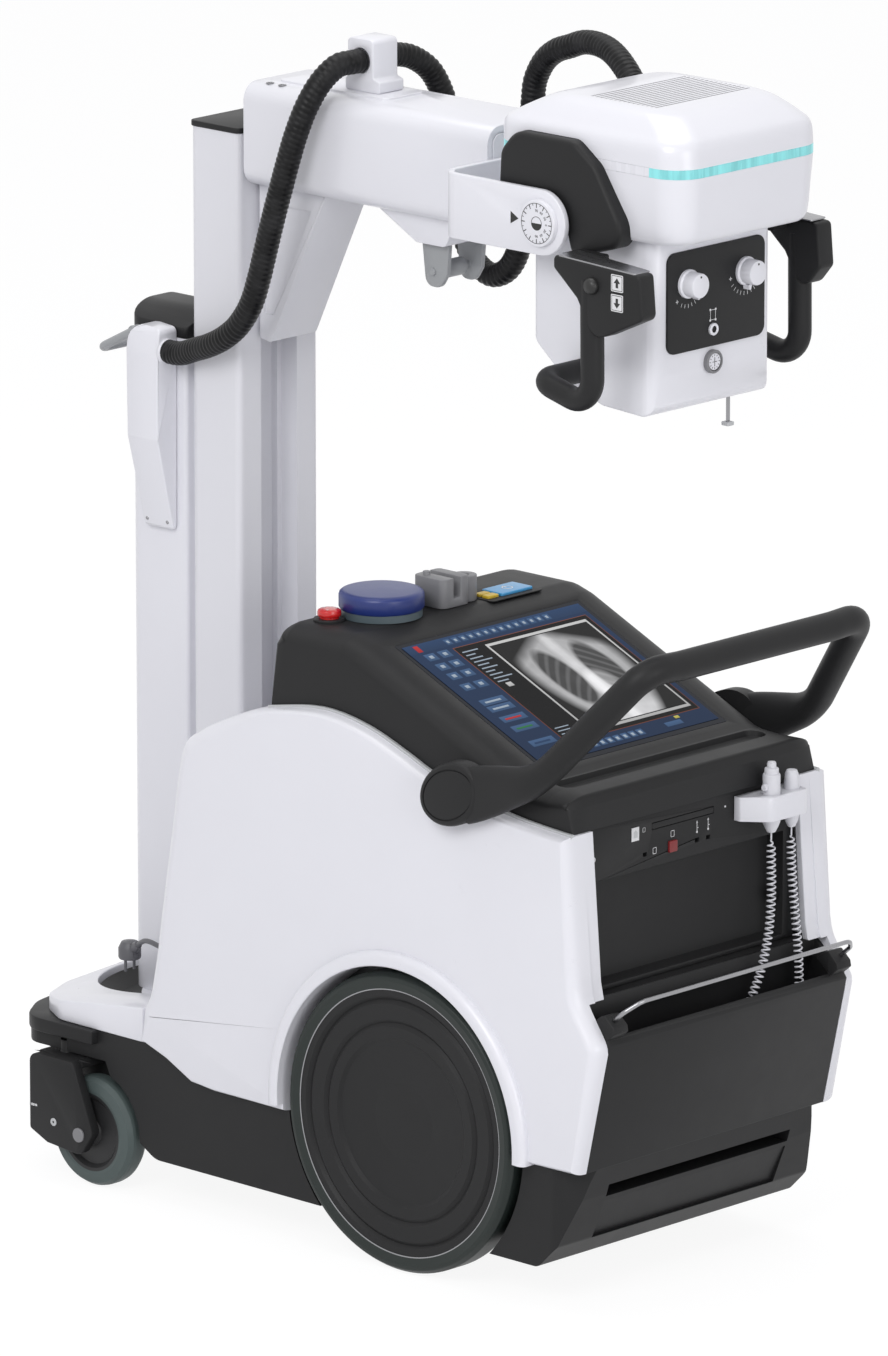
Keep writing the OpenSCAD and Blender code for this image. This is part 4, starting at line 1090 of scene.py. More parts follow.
def make_curly_cord():
    look = settings()
    helix = curls(CURLY, (look.coil_d - look.cord_d) / MM / 2, look.coil_pitch / MM, 10.0)
    shape = bmesh.new()
    sweep(shape, helix, round_section(look.cord_d / MM / 2, 6))
    cord = piece("curly_switch_cord", mesh_of("curly_switch_cord", shape, 80), "cart", cord_white(),
                 ["curly_cord"])
    helix[0] * MM
    [p * MM for p in helix]


def make_mains_lead():
    line = even(LEAD, 2.0)
    shape = bmesh.new()
    sweep(shape, line, round_section(settings().lead_d / MM / 2, 20))
    lead = piece("mains_lead_cable", mesh_of("mains_lead_cable", shape, 60), "cart", lead_grey(),
                 ["mains_lead"])
    plug = piece("mains_plug_body", eased(copy_of("mains_plug"), 0.9), "cart", lead_grey(),
                 ["mains_plug"])
    line[0] * MM
    [p * MM for p in line]


# Covers


def cowl_mesh():
    """The right side cover with its rounded edge, the arch's raised lip and the return behind."""
    rear = [(*p, 0.7) for p in REAR_LINE]
    chain = smooth([(*p, 1.0) for p in FRONT_LINE] + [(*p, 1.0) for p in TOP_LINE[:2]]
                   + [(*p, 0.35) for p in TOP_LINE[2:]], 5)
    rows = [Vector((-353, 252.3, 0.3))]
    rows += [Vector((x, z + SEAT, 0.3)) for x, z in reversed(UNDER_LINE)]
    rows += [Vector((206, 204.3, 0)), Vector((206, 222.3, 0)), Vector((*REAR_FOOT, 0.4))]
    rows += smooth(list(reversed(rear)), 5)
    rows += list(reversed(chain))
    points = [Vector(r[:2]) for r in rows]
    shares = [max(0.0, r[2]) for r in rows]
    rings = []
    for k in range(10, -1, -1):
        angle = QUARTER * k / 10
        y = COWL_OUT - 26 * (1 - math.sin(angle))
        rings.append([Vector((p.x, y, p.y)) for p in inset(points, 26 * (1 - math.cos(angle)), shares)])
    rings.append([Vector((p.x, COWL_IN, p.y)) for p in points])
    shape = bmesh.new()
    loft(shape, rings)
    mesh = mesh_of("cowl", shape)
    shape = bmesh.new()
    lathe(shape, [(0, 180), (ARCH_R, 180), (ARCH_R, 360), (0, 360)], (WHEEL_AT[0], 0, WHEEL_AT[1]), (0, 1, 0), 160)
    mesh = cut(mesh, mesh_of("arch", shape))
    mesh = cut(mesh, block(484.6, 700, 0, 268.3, 217, 487.6))
    return joined("cowl", [mesh, arch_lip(), rear_return()], 33)


def arch_lip():
    """Raised lip round the arch, from the seam in front to the seam behind."""
    section = [(ARCH_R, 276), (ARCH_R, 309)]
    section += [(ARCH_R + 3 - 3 * math.cos(a), 308 + 3 * math.sin(a))
                for a in [QUARTER * k / 4 for k in range(1, 5)]]
    section += [(258, 311)] + [(258 + 12 * math.sin(a), 301 + 10 * math.cos(a))
                               for a in [QUARTER * k / 6 for k in range(1, 7)]]
    section += [(270, 276)]
    shape = bmesh.new()
    rings = []
    for k in range(97):
        angle = math.radians(-2.8 + 186.9 * k / 96)
        rings.append([Vector((WHEEL_AT[0] + r * math.cos(angle), y, WHEEL_AT[1] + r * math.sin(angle)))
                      for r, y in section])
    loft(shape, rings)
    return mesh_of("arch_lip", shape)


def rear_return():
    shape = bmesh.new()
    points = [Vector(p) for p in ((545, 744), (563, 514), (569, 487.6), (557, 487.6), (551, 514),
                                  (533, 744))]
    plate(shape, points[::-1], COWL_IN + 1, 230, 2.0)
    return mesh_of("rear_return", shape)


def make_covers():
    right = cowl_mesh()
    piece("side_cover_shell_left", mirrored(right), "cart", cover_white(), ["cowl_left"])
    piece("side_cover_shell_right", right, "cart", cover_white(), ["cowl_right"])


# Console


def console_mesh():
    line = smooth([(x, z + SEAT) for x, z in TOP_LINE[2:]], 4)
    rows = [(p[0], p[1], 0.0) for p in line[:-1]]
    front = TOP_LINE[2][0]
    crest = [(541, 783, 0.4, 5), (535, 800, 0.6, 8), (SLOPE_FOOT.x + 50, 800, 0.8, 20),
             (SLOPE_FOOT.x + 12, 802, 0.8, 10), (SLOPE_FOOT.x, SLOPE_FOOT.y, 1.0, 14),
             (SLOPE_TOP.x, SLOPE_TOP.y, 1.0, 60), (62, 968, 1.0, 40), (-62, 968, 1.0, 30),
             (front + 6, 958, 0.8, 16), (front, 936, 0.5, 10)]
    corners = [Vector(r[:2]) for r in crest]
    around = [Vector((541, 744.8))] + corners + [Vector((front, TOP_LINE[2][1] + SEAT))]
    points = [Vector(r[:2]) for r in rows] + [around[0]]
    shares = [r[2] for r in rows] + [0.0]
    for i, row in enumerate(crest):
        arc = rounded_corner(around[i], around[i + 1], around[i + 2], row[3], 5)
        points += arc
        shares += [row[2]] * len(arc)
    rings = []
    for sign in (1, -1):
        for k in range(9):
            angle = QUARTER * (k if sign < 0 else 8 - k) / 8
            y = sign * (272 - 52 + 52 * math.sin(angle))
            ring = inset(points, 30 * (1 - math.cos(angle)), shares)
            rings.append([Vector((p.x, y, p.y)) for p in ring])
    rings = [r for i, r in enumerate(rings) if i != 9]
    shape = bmesh.new()
    loft(shape, rings)
    return mesh_of("console", shape)


def on_slope(along, lift):
    """Height of the screen's plane: along is the way down from its middle."""
    up = Vector((math.sin(SCREEN_TILT), math.cos(SCREEN_TILT)))
    return SCREEN_MIDDLE + SLOPE_DOWN * along + up * lift


def slope_place(lift):
    """Puts a drawing on the screen's plane: x across to the machine's right, y up the slope."""
    at = on_slope(0, lift)
    return set_at((at.x, 0, at.y), (0, 1, 0), (-SLOPE_DOWN.x, 0, -SLOPE_DOWN.y))


def make_console():
    mesh = console_mesh()
    shape = bmesh.new()
    rings = []
    for grow, lift in ((0.0, -9.0), (0.0, -1.2), (3.2, 0.6), (3.2, 40.0)):
        ring = outline([(s * (205.5 + grow), t * (170.5 + grow), 4 + grow)
                        for s, t in ((-1, -1), (1, -1), (1, 1), (-1, 1))], 4)
        place = slope_place(lift)
        rings.append([place @ (p.to_3d() * MM) / MM for p in ring])
    loft(shape, rings)
    mesh = cut(mesh, mesh_of("screen_recess", shape))
    shape = bmesh.new()
    rings = []
    for shrink, z in ((9.0, 791.0), (2.0, 793.0), (0.0, 797.0), (-3.0, 803.0), (-3.0, 820.0)):
        rings.append([Vector((SLOPE_FOOT.x + 37 + p.y, p.x, z)) for p in capsule(452 - shrink, 38 - shrink)])
    loft(shape, [r[::-1] for r in rings])
    mesh = cut(mesh, mesh_of("pen_tray", shape))
    piece("console_housing", shaded(mesh, 33), "cart", charcoal(), ["console"])
    shape = bmesh.new()
    line = smooth(TOP_LINE[2:], 5)
    path = [Vector((p[0], -275.5, p[1] - 1.0)) for p in line]
    sweep(shape, path, lambda i, run: [(3.2, -4), (4.2, -2), (4.2, 3), (3.2, 4), (-3, 4), (-3, -4)])
    strip = mesh_of("console_strip", shape)
    piece("console_strips", joined("console_strips", [strip, mirrored(strip)]), "cart", strip_grey())


KEY_GRID = [(x, y) for y in (118, 92, 66, 36) for x in (-176, -146)]


def make_screen():
    place = slope_place(-7.6 + 7.2)
    sheet = []

    def area(x0, y0, x1, y1, kind, lift=0.0):
        shape = bmesh.new()
        loft(shape, [[Vector((p.x, p.y, z + lift)) for p in box_points(x0, y0, x1, y1)]
                     for z in (0.0, 0.12)])
        mesh = mesh_of("area", shape)
        layer = mesh.uv_layers.new(name="drawing")
        for loop in mesh.loops:
            at = mesh.vertices[loop.vertex_index].co / MM
            layer.data[loop.index].uv = ((at.x - x0) / (x1 - x0), (at.y - y0) / (y1 - y0))
        mesh.transform(place)
        finish = display_picture() if kind == "picture" else display(kind)
        sheet.append(painted(mesh, finish))

    area(-197, -160, 197, 162, "field")
    area(-112, -128, 186, 134, "rule", 0.15)
    area(-110.5, -126.5, 184.5, 132.5, "black", 0.3)
    area(-50, -118, 176, 124, "pale", 0.45)
    area(-46, -112, 172, 118, "black", 0.6)
    area(-44, -110, 170, 116, "picture", 0.75)
    area(-197, 140, 197, 162, "bar", 0.15)
    for i in range(14):
        area(-112 + 17 * i, 143.5, -100 + 17 * i, 157, "key", 0.3)
        area(-109 + 17 * i, 147, -104 + 17 * i, 153, "mark", 0.45)
    for x, y in KEY_GRID:
        area(x, y, x + 22, y + 17, "key", 0.15)
        area(x + 7, y + 5, x + 15, y + 12, "mark", 0.3)
    area(-178, 142, -168, 158, "red", 0.45)
    for y, kind in ((-6, "mark"), (-24, "mark"), (-52, "red"), (-78, "green"), (-118, "bar")):
        area(-176, y, -124, y + 15, "key", 0.15)
        area(-168, y + 5, -134, y + 9, kind, 0.3)
    for i in range(10):
        area(-104, 118 - 9 * i, -104 + (34, 20, 28, 40, 24)[i % 5], 120.5 - 9 * i, "mark", 0.45)
    area(-94, 22, -82, 32, "pale", 0.45)
    for i in range(4):
        area(-104, -92 - 8 * i, -74, -90 - 8 * i, "mark", 0.45)
    for i in range(9):
        area(-108 + 17 * i, -152, -95 + 17 * i, -138, "key", 0.15)
        area(-105 + 17 * i, -149, -99 + 17 * i, -142, "mark", 0.3)
    area(92, -150, 128, -140, "key", 0.15)
    area(122, -137, 132, -131, "yellow", 0.45)
    piece("screen_drawing", joined("screen_drawing", sheet), "cart", None)
    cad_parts["screen"].data.materials.clear()
    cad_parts["screen"].data.materials.append(screen_glass())


def make_console_fittings():
    lid = bmesh.new()
    lathe(lid, [(0, 980), (64, 980), (66, 983), (66, 1001), (64.8, 1004.5), (62, 1006.8), (58.5, 1007.9),
                (55, 1008.3), (0, 1008.3)], (4, -122, 0.3), (0, 0, 1), 96)
    piece("canister_cap", mesh_of("canister_cap", lid), "cart", lid_blue(), ["canister_lid"])
    button = bmesh.new()
    lathe(button, [(0, 0), (15, 0), (15, 6), (18, 7.5), (18.6, 9), (18.6, 13), (17.6, 16), (15, 17.6),
                   (8, 18), (0, 18)], (-30, -202, 968.3), (0, 0, 1), 64)
    parts = [painted(mesh_of("stop_head", button), button_red())]
    base = bmesh.new()
    lathe(base, [(15.4, 0), (25, 0), (25, 3), (23.5, 4.5), (15.4, 4.5)], (-30, -202, 967.4), (0, 0, 1), 64)
    parts.append(painted(mesh_of("stop_base", base), charcoal()))
    place = set_at((-30, -202, 986.35), (0, 1, 0), (-1, 0, 0))
    arrow = flat("arrow", [(-1.2, 9), (3.5, 11), (-1.2, 13.5)], 0.25, Matrix(), print_white())
    parts.append(repeated("stop_arrows", arrow, 3, print_white(), turn=math.tau / 3, place=place))
    piece("stop_button_head", joined("stop_button_head", parts), "cart", None,
          ["stop_button"])
    pads = []
    tray = bmesh.new()
    plate(tray, outline([(-2, 52, 8), (74, 52, 8), (74, 168, 8), (-2, 168, 8)]), 968.0, 969.2, 0.8,
          lambda a, y, b: Vector((a, b, y)))
    pads.append(painted(mesh_of("pad_tray", tray), matt_black()))
    for x0, x1, y0, y1, top, finish in ((16, 60, 88, 158, 973.3, key_blue()),
                                        (26, 40, 60, 84, 973.3, key_yellow()),
                                        (42, 58, 60, 84, 973.3, key_yellow())):
        pad = bmesh.new()
        plate(pad, outline([(x0, y0, 3), (x1, y0, 3), (x1, y1, 3), (x0, y1, 3)]), 968.3, top, 1.6,
              lambda a, y, b: Vector((a, b, y)))
        pads.append(painted(mesh_of("pad", pad), finish))
    place = set_at((38, 123, 973.35), (0, 1, 0), (-1, 0, 0))
    pads.append(flat_ring("power_ring", 9, 7.2, 0.2, place, print_white()))
    pads.append(flat("power_bar", box_points(-1.1, 2, 1.1, 11), 0.3, place, print_white()))
    pads.append(flat("ready_mark", ring_points(3, 24), 1.6,
                     set_at((10, 72, 968.6), (1, 0, 0), (0, 1, 0)), key_green()))
    piece("console_keys", joined("console_keys", pads), "cart", None, ["keypad"])


# Push handle


def handle_half(shape):
    """Right half of the handle: flat and broad at its lug, round in the grip."""
    rows = [(357, 312.3, 781, 0), (505, 309, 828, 130), (660, 240, 1011, 62), (664, 170, 1009, 0),
            (664, 0, 1009, 0)]
    line = even(route(rows, 14), 7.0, False)

    def section(_, run):
        flatness = max(0.0, 1.0 - run / 190.0)
        flatness = flatness * flatness * (3 - 2 * flatness)
        tall, thick = 22.5 + 21.0 * flatness, 22.5 - 7.6 * flatness
        power = 1.0 - 0.28 * flatness
        ring = []
        for k in range(32):
            angle = math.tau * k / 32
            c, s = math.cos(angle), math.sin(angle)
            ring.append((tall * math.copysign(abs(c) ** power, c), thick * math.copysign(abs(s) ** power, s)))
        return ring

    sweep(shape, line, section)


def make_push_handle():
    lug = [Vector((337 + 62 * math.cos(a), 781 + 50 * math.sin(a) + 12 * math.cos(a)))
           for a in [math.tau * k / 64 for k in range(64)]]
    shape = bmesh.new()
    handle_half(shape)
    grip = mesh_of("grip", shape, 50)
    shape = bmesh.new()
    levels = [(0.0, 297.3), (0.0, 318.5), (1.2, 323.2), (3.4, 326.0), (6.0, 327.3), (9.5, 327.3),
              (10.2, 325.4), (11.4, 325.4), (12.1, 327.0), (14.0, 327.3)]
    loft(shape, [[Vector((p.x, y, p.y)) for p in inset(lug, d)] for d, y in levels])
    side = joined("side", [grip, mesh_of("lug", shape, 40)], 42)
    piece("push_handle_bar", joined("push_handle_bar", [side, mirrored(side)], 42), "cart", charcoal(),
          ["push_handle"])


# Wheels


def make_wheels():
    for side, sign in (("left", -1), ("right", 1)):
        shape = bmesh.new()
        lathe(shape, [(208.2, -4.4), (208.2, -3.4), (209.0, -3.0), (210.2, -3.0), (210.8, -3.6),
                      (210.8, -4.6)], (206, sign * 300, 235), (0, sign, 0), 160)
        piece("wheel_trim_" + side, mesh_of("wheel_trim_" + side, shape), "wheel_" + side, bare_steel())
        node = "castor_fork_" + side
        fork = eased(copy_of(node), 1.6)
        piece("castor_shroud_" + side, fork, "castor_" + side, charcoal(), [node])
        out = sign * (274 + 28 + 18)
        marks = []
        shape = bmesh.new()
        lathe(shape, [(0, 0), (11.5, 0), (11.5, 2.4), (10.8, 3.2), (0, 3.4)], (-462, out, 88),
              (0, sign, 0), 40)
        marks.append(painted(mesh_of("pin_cap", shape), cast_grey()))
        shape = bmesh.new()
        lathe(shape, [(2.0, 0.0), (2.2, 1.0), (5.6, 1.2), (6.4, 0.6), (6.4, -0.4), (2.0, -0.4)],
              (-518, out, 98), (0, sign, 0), 32)
        marks.append(painted(mesh_of("fork_screw", shape), strip_grey()))
        marks.append(flat("fork_slot", box_points(-0.5, -2, 16, 2), 0.3,
                          set_at((-570.5, out, 118), (1, 0, 0), (0, 0, sign)) if sign < 0 else
                          set_at((-554.5, out, 118), (-1, 0, 0), (0, 0, 1)), print_white()))
        piece("castor_fittings_" + side, joined("castor_fittings_" + side, marks), "castor_" + side, None)


# Head


HEAD_ROWS = [(1637, 278, 635, 152, 40), (1650, 273, 645, 158, 46), (1700, 270, 650, 162, 50),
             (1740, 270, 653, 164, 50), (1754, 270, 653, 164, 50), (1784, 272, 649, 163, 50),
             (1800, 292, 637, 152, 50), (1822, 336, 601, 132, 46), (1830, 362, 567, 116, 40)]
SIDE_ROWS = [(300, 1640, 14), (440, 1640, 0), (452, 1600, 16), (545, 1628, 40), (552, 1660, 40),
             (500, 1745, 40), (455, 1778, 30), (335, 1778, 40), (306, 1745, 30)]


def head_ring(row):
    z, back, front, half, radius = row
    return [Vector((p.x, p.y, z)) for p in outline(
        [(back, -half, radius), (front, -half, radius), (front, half, radius), (back, half, radius)], 12)]


def head_shell(name, rows, lift=0.0):
    shape = bmesh.new()
    loft(shape, [[p + Vector((0, 0, lift)) for p in head_ring(row)] for row in rows])
    mesh = mesh_of(name, shape)
    room = inset(outline(SIDE_ROWS, 8), -SEAT)
    for sign in (-1, 1):
        shape = bmesh.new()
        loft(shape, [[Vector((p.x, sign * y, p.y)) for p in room] for y in (147.7, 230)])
        mesh = cut(mesh, mesh_of("side_room", shape))
    return mesh


def make_head():
    base = head_shell("head_base", smooth(HEAD_ROWS[:4], 3))
    piece("head_lower_shell", shaded(base, 33), "head", cover_white(), ["head_base"])
    band = head_shell("light_band", HEAD_ROWS[3:5], SEAT)
    crown = smooth(HEAD_ROWS[4:], 5)
    cover = head_shell("head_cover", crown, 2 * SEAT)
    shape = bmesh.new()
    plate(shape, capsule(210, 3.2, 6), -3, 12, 0.0, lambda a, y, b: Vector((b, a, y)))
    slot_item = mesh_of("slot_item", shape)
    slots = repeated("cover_slots", slot_item, 15, matt_black(), step=(9.2, 0, 0),
                     place=Matrix.Translation(Vector((421, 0, 1830.4)) * MM))
    cover = cut(cover, slots)
    shape = bmesh.new()
    line = even(HOSE_HEAD, 6.0)
    sweep(shape, line[-9:] + [line[-1] + (line[-1] - line[-2]).normalized()], round_section(20, 24))
    cover = cut(cover, mesh_of("hose_pocket", shape))
    piece("head_upper_shell", shaded(cover, 33), "head", cover_white(), ["head_cover"])
    # Painted shade: matt black plates set in the cover's slots, nearly to its surface, stand for the shade inside
    # the vents.
    shape = bmesh.new()
    plate(shape, capsule(209, 2.9, 6), -3.2, -0.3, 0.0, lambda a, y, b: Vector((b, a, y)))
    vent_shade = repeated("slot_floors", mesh_of("floor_item", shape), 15, matt_black(), step=(9.2, 0, 0),
                      place=Matrix.Translation(Vector((421, 0, 1830.4)) * MM))
    piece("head_slot_floors", vent_shade, "head", None)
    piece("head_light_band", shaded(band, 33), "head", light_lens(), ["light_band"])
    pad = bmesh.new()
    plate(pad, outline(SIDE_ROWS, 10), 148, 183, 9.0, steps=7)
    side = mesh_of("side", pad, 40)
    pin = bmesh.new()
    lathe(pin, [(0, 182), (18, 182), (18, 199.3), (0, 199.3)], (405, 0, 1650), (0, 1, 0), 48)
    side = joined("side", [side, mesh_of("pin", pin)], 40)
    piece("head_side_pad_right", side, "head", charcoal(), ["side_cover_right"])
    piece("head_side_pad_left", mirrored(side), "head", charcoal(), ["side_cover_left"])


def make_dials():
    parts = []
    for sign in (-1, 1):
        shape = bmesh.new()
        lathe(shape, [(0, 199.3), (36, 199.3), (36, 205), (35, 206.6), (33.5, 207), (0, 207)],
              (405, 0, 1650), (0, sign, 0), 96)
        parts.append(painted(mesh_of("dial", shape), cover_white()))
        place = set_at((405, sign * 207, 1650), (-sign, 0, 0), (0, 0, 1))
        lift = Matrix.Translation((0, 0, 0.1 * MM))
        parts.append(flat_ring("dial_rim", 31, 30.2, 0.2, place @ lift, print_black()))
        parts.append(flat_ring("dial_hub", 10.6, 9.8, 0.25, place @ lift, print_black()))
        half = [Vector((9.8 * math.cos(a), 9.8 * math.sin(a)))
                for a in [-math.pi + math.pi * k / 24 for k in range(25)]]
        parts.append(flat("dial_level", half, 0.25, place @ lift, print_black()))
        for count, long, width in ((24, 3.2, 0.8), (12, 6.4, 1.3)):
            tick = flat("tick", box_points(30.2 - long, -width / 2, 30.2, width / 2), 0.2, Matrix(),
                        print_black())
            parts.append(repeated("ticks", tick, count, print_black(), turn=math.tau / count,
                                  place=place @ lift))
        for k, text in enumerate(("90", "60", "30", "0", "30", "60", "90")):
            angle = math.radians(90 - 30 * k)
            turn = Matrix.Rotation(angle - QUARTER, 4, "Z")
            at = Matrix.Translation(Vector((19.2 * math.cos(angle), 19.2 * math.sin(angle), 0.1)) * MM)
            parts.append(words("number", text, 6.0, place @ at @ turn, print_black()))
    piece("tilt_dials", joined("tilt_dials", parts), "head", None, ["tilt_dial"])
    marks = []
    for sign in (-1, 1):
        place = set_at((352, sign * 199.05, 1650), (-sign, 0, 0), (0, 0, 1))
        points = [(-9, -0.0), (7, 9.5), (7, -9.5)] if sign < 0 else [(9, 0), (-7, -9.5), (-7, 9.5)]
        marks.append(flat("pointer", [(-p[0], p[1]) for p in points][::-1], 0.25, place, print_black()))
    piece("yoke_pointers", joined("yoke_pointers", marks), "yoke", None)


# Collimator


def panel_place(y, z, lift=0.0):
    """Puts a drawing on the collimator's face: x to the machine's right, y up."""
    return set_at((580.1 + lift, y, z), (0, 1, 0), (0, 0, 1))


def knob(at_y, at_z, turn):
    shape = bmesh.new()
    lathe(shape, [(0, 0), (22, 0), (22, 4), (21, 5.4), (19.4, 6.2), (19.0, 24.5), (18.2, 26.3),
                  (16.6, 27), (0, 27)], (580.0, at_y, at_z), (1, 0, 0), 72)
    parts = [painted(mesh_of("knob", shape), cover_white())]
    place = panel_place(at_y, at_z) @ Matrix.Rotation(turn, 4, "Z")
    parts.append(flat("knob_pointer", [(20, -3.6), (27.5, -1.6), (27.5, 1.6), (20, 3.6)], 12, place,
                      cover_white()))
    parts.append(flat("knob_dot", [(-1.6, 12), (1.6, 12), (1.6, 15), (-1.6, 15)], 27.1,
                      panel_place(at_y, at_z), print_black()))
    tick = flat("tick", box_points(31, -0.35, 37, 0.35), 0.15, Matrix(), print_white())
    start = Matrix.Rotation(turn - math.radians(52), 4, "Z")
    parts.append(repeated("scale", tick, 9, print_white(), turn=math.radians(13),
                          place=panel_place(at_y, at_z) @ start))
    for k in (-1, 1):
        angle = turn + k * math.radians(72)
        spot = Vector((34 * math.cos(angle), 34 * math.sin(angle)))
        mark = box_points(spot.x - 3, spot.y - 0.5, spot.x + 3, spot.y + 0.5)
        parts.append(flat("end_mark", mark, 0.15, panel_place(at_y, at_z), print_white()))
        mark = box_points(spot.x - 0.5, spot.y - 3, spot.x + 0.5, spot.y + 3)
        parts.append(flat("end_mark", mark, 0.15, panel_place(at_y, at_z), print_white()))
    return parts


def make_collimator():
    piece("collimator_housing", eased(copy_of("collimator"), 3.0, 50, 3), "head", cover_white(),
          ["collimator"])
    shape = bmesh.new()
    points = outline([(-108, 1458, 16), (108, 1458, 16), (108, 1612, 16), (-108, 1612, 16)], 10)
    plate(shape, points, 576.0, 580.0, 1.0, lambda a, y, b: Vector((y, a, b)))
    panel = painted(mesh_of("panel", shape), charcoal())
    marks = [panel]
    square = outline([(-6, -8, 0), (6, -8, 0), (6, 8, 0), (-6, 8, 0)])
    frame_mark = [box_points(-6, -8, 6, -7.2), box_points(-6, 7.2, 6, 8), box_points(-6, -8, -5.2, 8),
                  box_points(5.2, -8, 6, 8)]
    for points in frame_mark:
        marks.append(flat("field_mark", points, 0.15, panel_place(-8, 1506), print_white()))
    del square
    for x in (-6, 6):
        for y in (-8, 8):
            marks.append(flat("field_corner", box_points(x - 1.6, y - 1.6, x + 1.6, y + 1.6), 0.16,
                              panel_place(-8, 1506), print_white()))
    piece("collimator_panel", joined("collimator_panel", marks), "head", None,
          ["control_panel"])
    parts = knob(-64, 1562, math.radians(-62)) + knob(64, 1562, math.radians(-95))
    shape = bmesh.new()
    lathe(shape, [(5.2, 0), (9.4, 0), (9.4, 3.2), (8.2, 4.4), (6.2, 4.4), (5.2, 3.4)],
          (580.0, -8, 1484), (1, 0, 0), 48)
    parts.append(painted(mesh_of("ring_button", shape), cover_white()))
    shape = bmesh.new()
    lathe(shape, [(0, 0), (5.4, 0), (5.4, 2.2), (4.6, 3.0), (0, 3.2)], (580.0, -8, 1484), (1, 0, 0), 40)
    parts.append(painted(mesh_of("button_eye", shape), matt_black()))
    shape = bmesh.new()
    lathe(shape, [(0, 0), (18, 0), (18, 6.4), (16.6, 8.0), (14.4, 8.0), (14.0, 6.2), (0, 6.2)],
          (576.0, -6, 1434), (1, 0, 0), 64)
    parts.append(painted(mesh_of("gauge", shape), cast_grey()))
    face = set_at((582.25, -6, 1434), (0, 1, 0), (0, 0, 1))
    parts.append(flat("gauge_face", ring_points(12.6, 48), 0.2, face, cover_white()))
    low = [Vector((14 * math.cos(a), 14 * math.sin(a)))
           for a in [math.pi + math.pi * k / 24 for k in range(25)]]
    low += [Vector((12.8 * math.cos(a), 12.8 * math.sin(a)))
            for a in [math.tau - math.pi * k / 24 for k in range(25)]]
    parts.append(flat("gauge_shade", low, 0.3, face, print_black()))
    tick = flat("tick", box_points(8.6, -0.45, 11.4, 0.45), 0.4, Matrix(), print_black())
    parts.append(repeated("gauge_ticks", tick, 12, print_black(), turn=math.tau / 12, place=face))
    parts.append(flat("gauge_hand", box_points(-0.5, -7, 0.5, 7), 0.5, face, print_black()))
    parts.append(flat("gauge_bar", box_points(-5, -0.4, 5, 0.4), 0.5, face, print_black()))
    piece("collimator_controls", joined("collimator_controls", parts), "head", None,
          ["panel_knobs"])
    hook = flat("hook_strip", box_points(-4, -42, 4, 0), 1.0,
                set_at((548, 62, 1367), (0, 1, 0), (0, 0, 1)), bare_steel())
    foot = bmesh.new()
    plate(foot, outline([(-8, 1320, 1.5), (6, 1320, 1.5), (6, 1326, 1.5), (-8, 1326, 1.5)]), 541, 555, 1.0,
          lambda a, y, b: Vector((y, a + 63, b)), both=True)
    piece("tape_hook", joined("tape_hook", [hook, painted(mesh_of("foot", foot), strip_grey())]), "head",
          None)


def grip_mesh(reach):
    r = 18.0
    shape = bmesh.new()
    rows = [(430, 133.3, 1418, 0), (430, 225, 1418, 30), (542, 231, 1392, 36), (540, 231, 1590, 0)]
    sweep(shape, even(route(rows, 12), 5.0, False), round_section(r, 28))
    tube = mesh_of("tube", shape, 50)
    shape = bmesh.new()
    head = outline([(523, 1560, 10), (558, 1500, 26), (reach, 1545, 12), (reach - 6, 1612, 8), (476, 1620, 8),
                    (476, 1600, 8)], 8)
    plate(shape, head, 214, 248, 5.0, both=True)
    body = mesh_of("head", shape, 40)
    shape = bmesh.new()
    arm = outline([(470, 1596, 4), (530, 1596, 4), (530, 1618, 4), (470, 1618, 4)])
    plate(shape, arm, 183.3, 221, 0.0)
    parts = [painted(m, charcoal()) for m in (tube, body, mesh_of("arm", shape))]
    shape = bmesh.new()
    plate(shape, outline([(484, 200, 4), (reach - 16, 212, 4), (reach - 16, 246, 4), (484, 246, 4)]), 1618.5, 1620.5,
          0.6, lambda a, y, b: Vector((a, b, y - (a - 476) * 0.046 + 0.6)))
    parts.append(painted(mesh_of("top_plate", shape), bare_steel()))
    shape = bmesh.new()
    lathe(shape, [(0, 0), (13, 0), (13, 3), (11.5, 7), (8, 10), (0, 11)], (556, 248, 1584), (0, 1, 0), 40)
    parts.append(painted(mesh_of("release_button", shape), print_black()))
    if reach < 650:
        return joined("grip", parts, 40)
    place = set_at((606, 248, 1580), (-1, 0, 0), (0, 0, 1))
    for z in (-15, 15):
        parts.append(flat("label", outline([(-12, z - 13, 2), (12, z - 13, 2), (12, z + 13, 2),
                                            (-12, z + 13, 2)], 4), 0.35, place, print_white()))
        parts.append(flat("label_rim", outline([(-10.5, z - 11.5, 1), (10.5, z - 11.5, 1),
                                                (10.5, z + 11.5, 1), (-10.5, z + 11.5, 1)], 3), 0.45,
                          place, print_black()))
        parts.append(flat("label_face", outline([(-9.6, z - 10.6, 1), (9.6, z - 10.6, 1),
                                                 (9.6, z + 10.6, 1), (-9.6, z + 10.6, 1)], 3), 0.55,
                          place, print_white()))
        way = 1 if z > 0 else -1
        arrow = [(-2.4, -7), (2.4, -7), (2.4, 0), (6.5, 0), (0, 8), (-6.5, 0), (-2.4, 0)]
        arrow = [Vector((x, z + way * y)) for x, y in arrow]
        parts.append(flat("arrow", arrow if way > 0 else arrow[::-1], 0.65, place, print_black()))
    return joined("grip", parts, 40)


def make_grips():
    piece("head_grip_right", grip_mesh(596), "head", None, ["grip_right"])
    piece("head_grip_left", mirrored(grip_mesh(656)), "head", None, ["grip_left"])


# Back


def back_place(y, z, lift=0.0):
    """Puts a drawing on the back panel's face: x to the machine's right, y up."""
    return set_at((532.7 + lift, y, z), (0, 1, 0), (0, 0, 1))


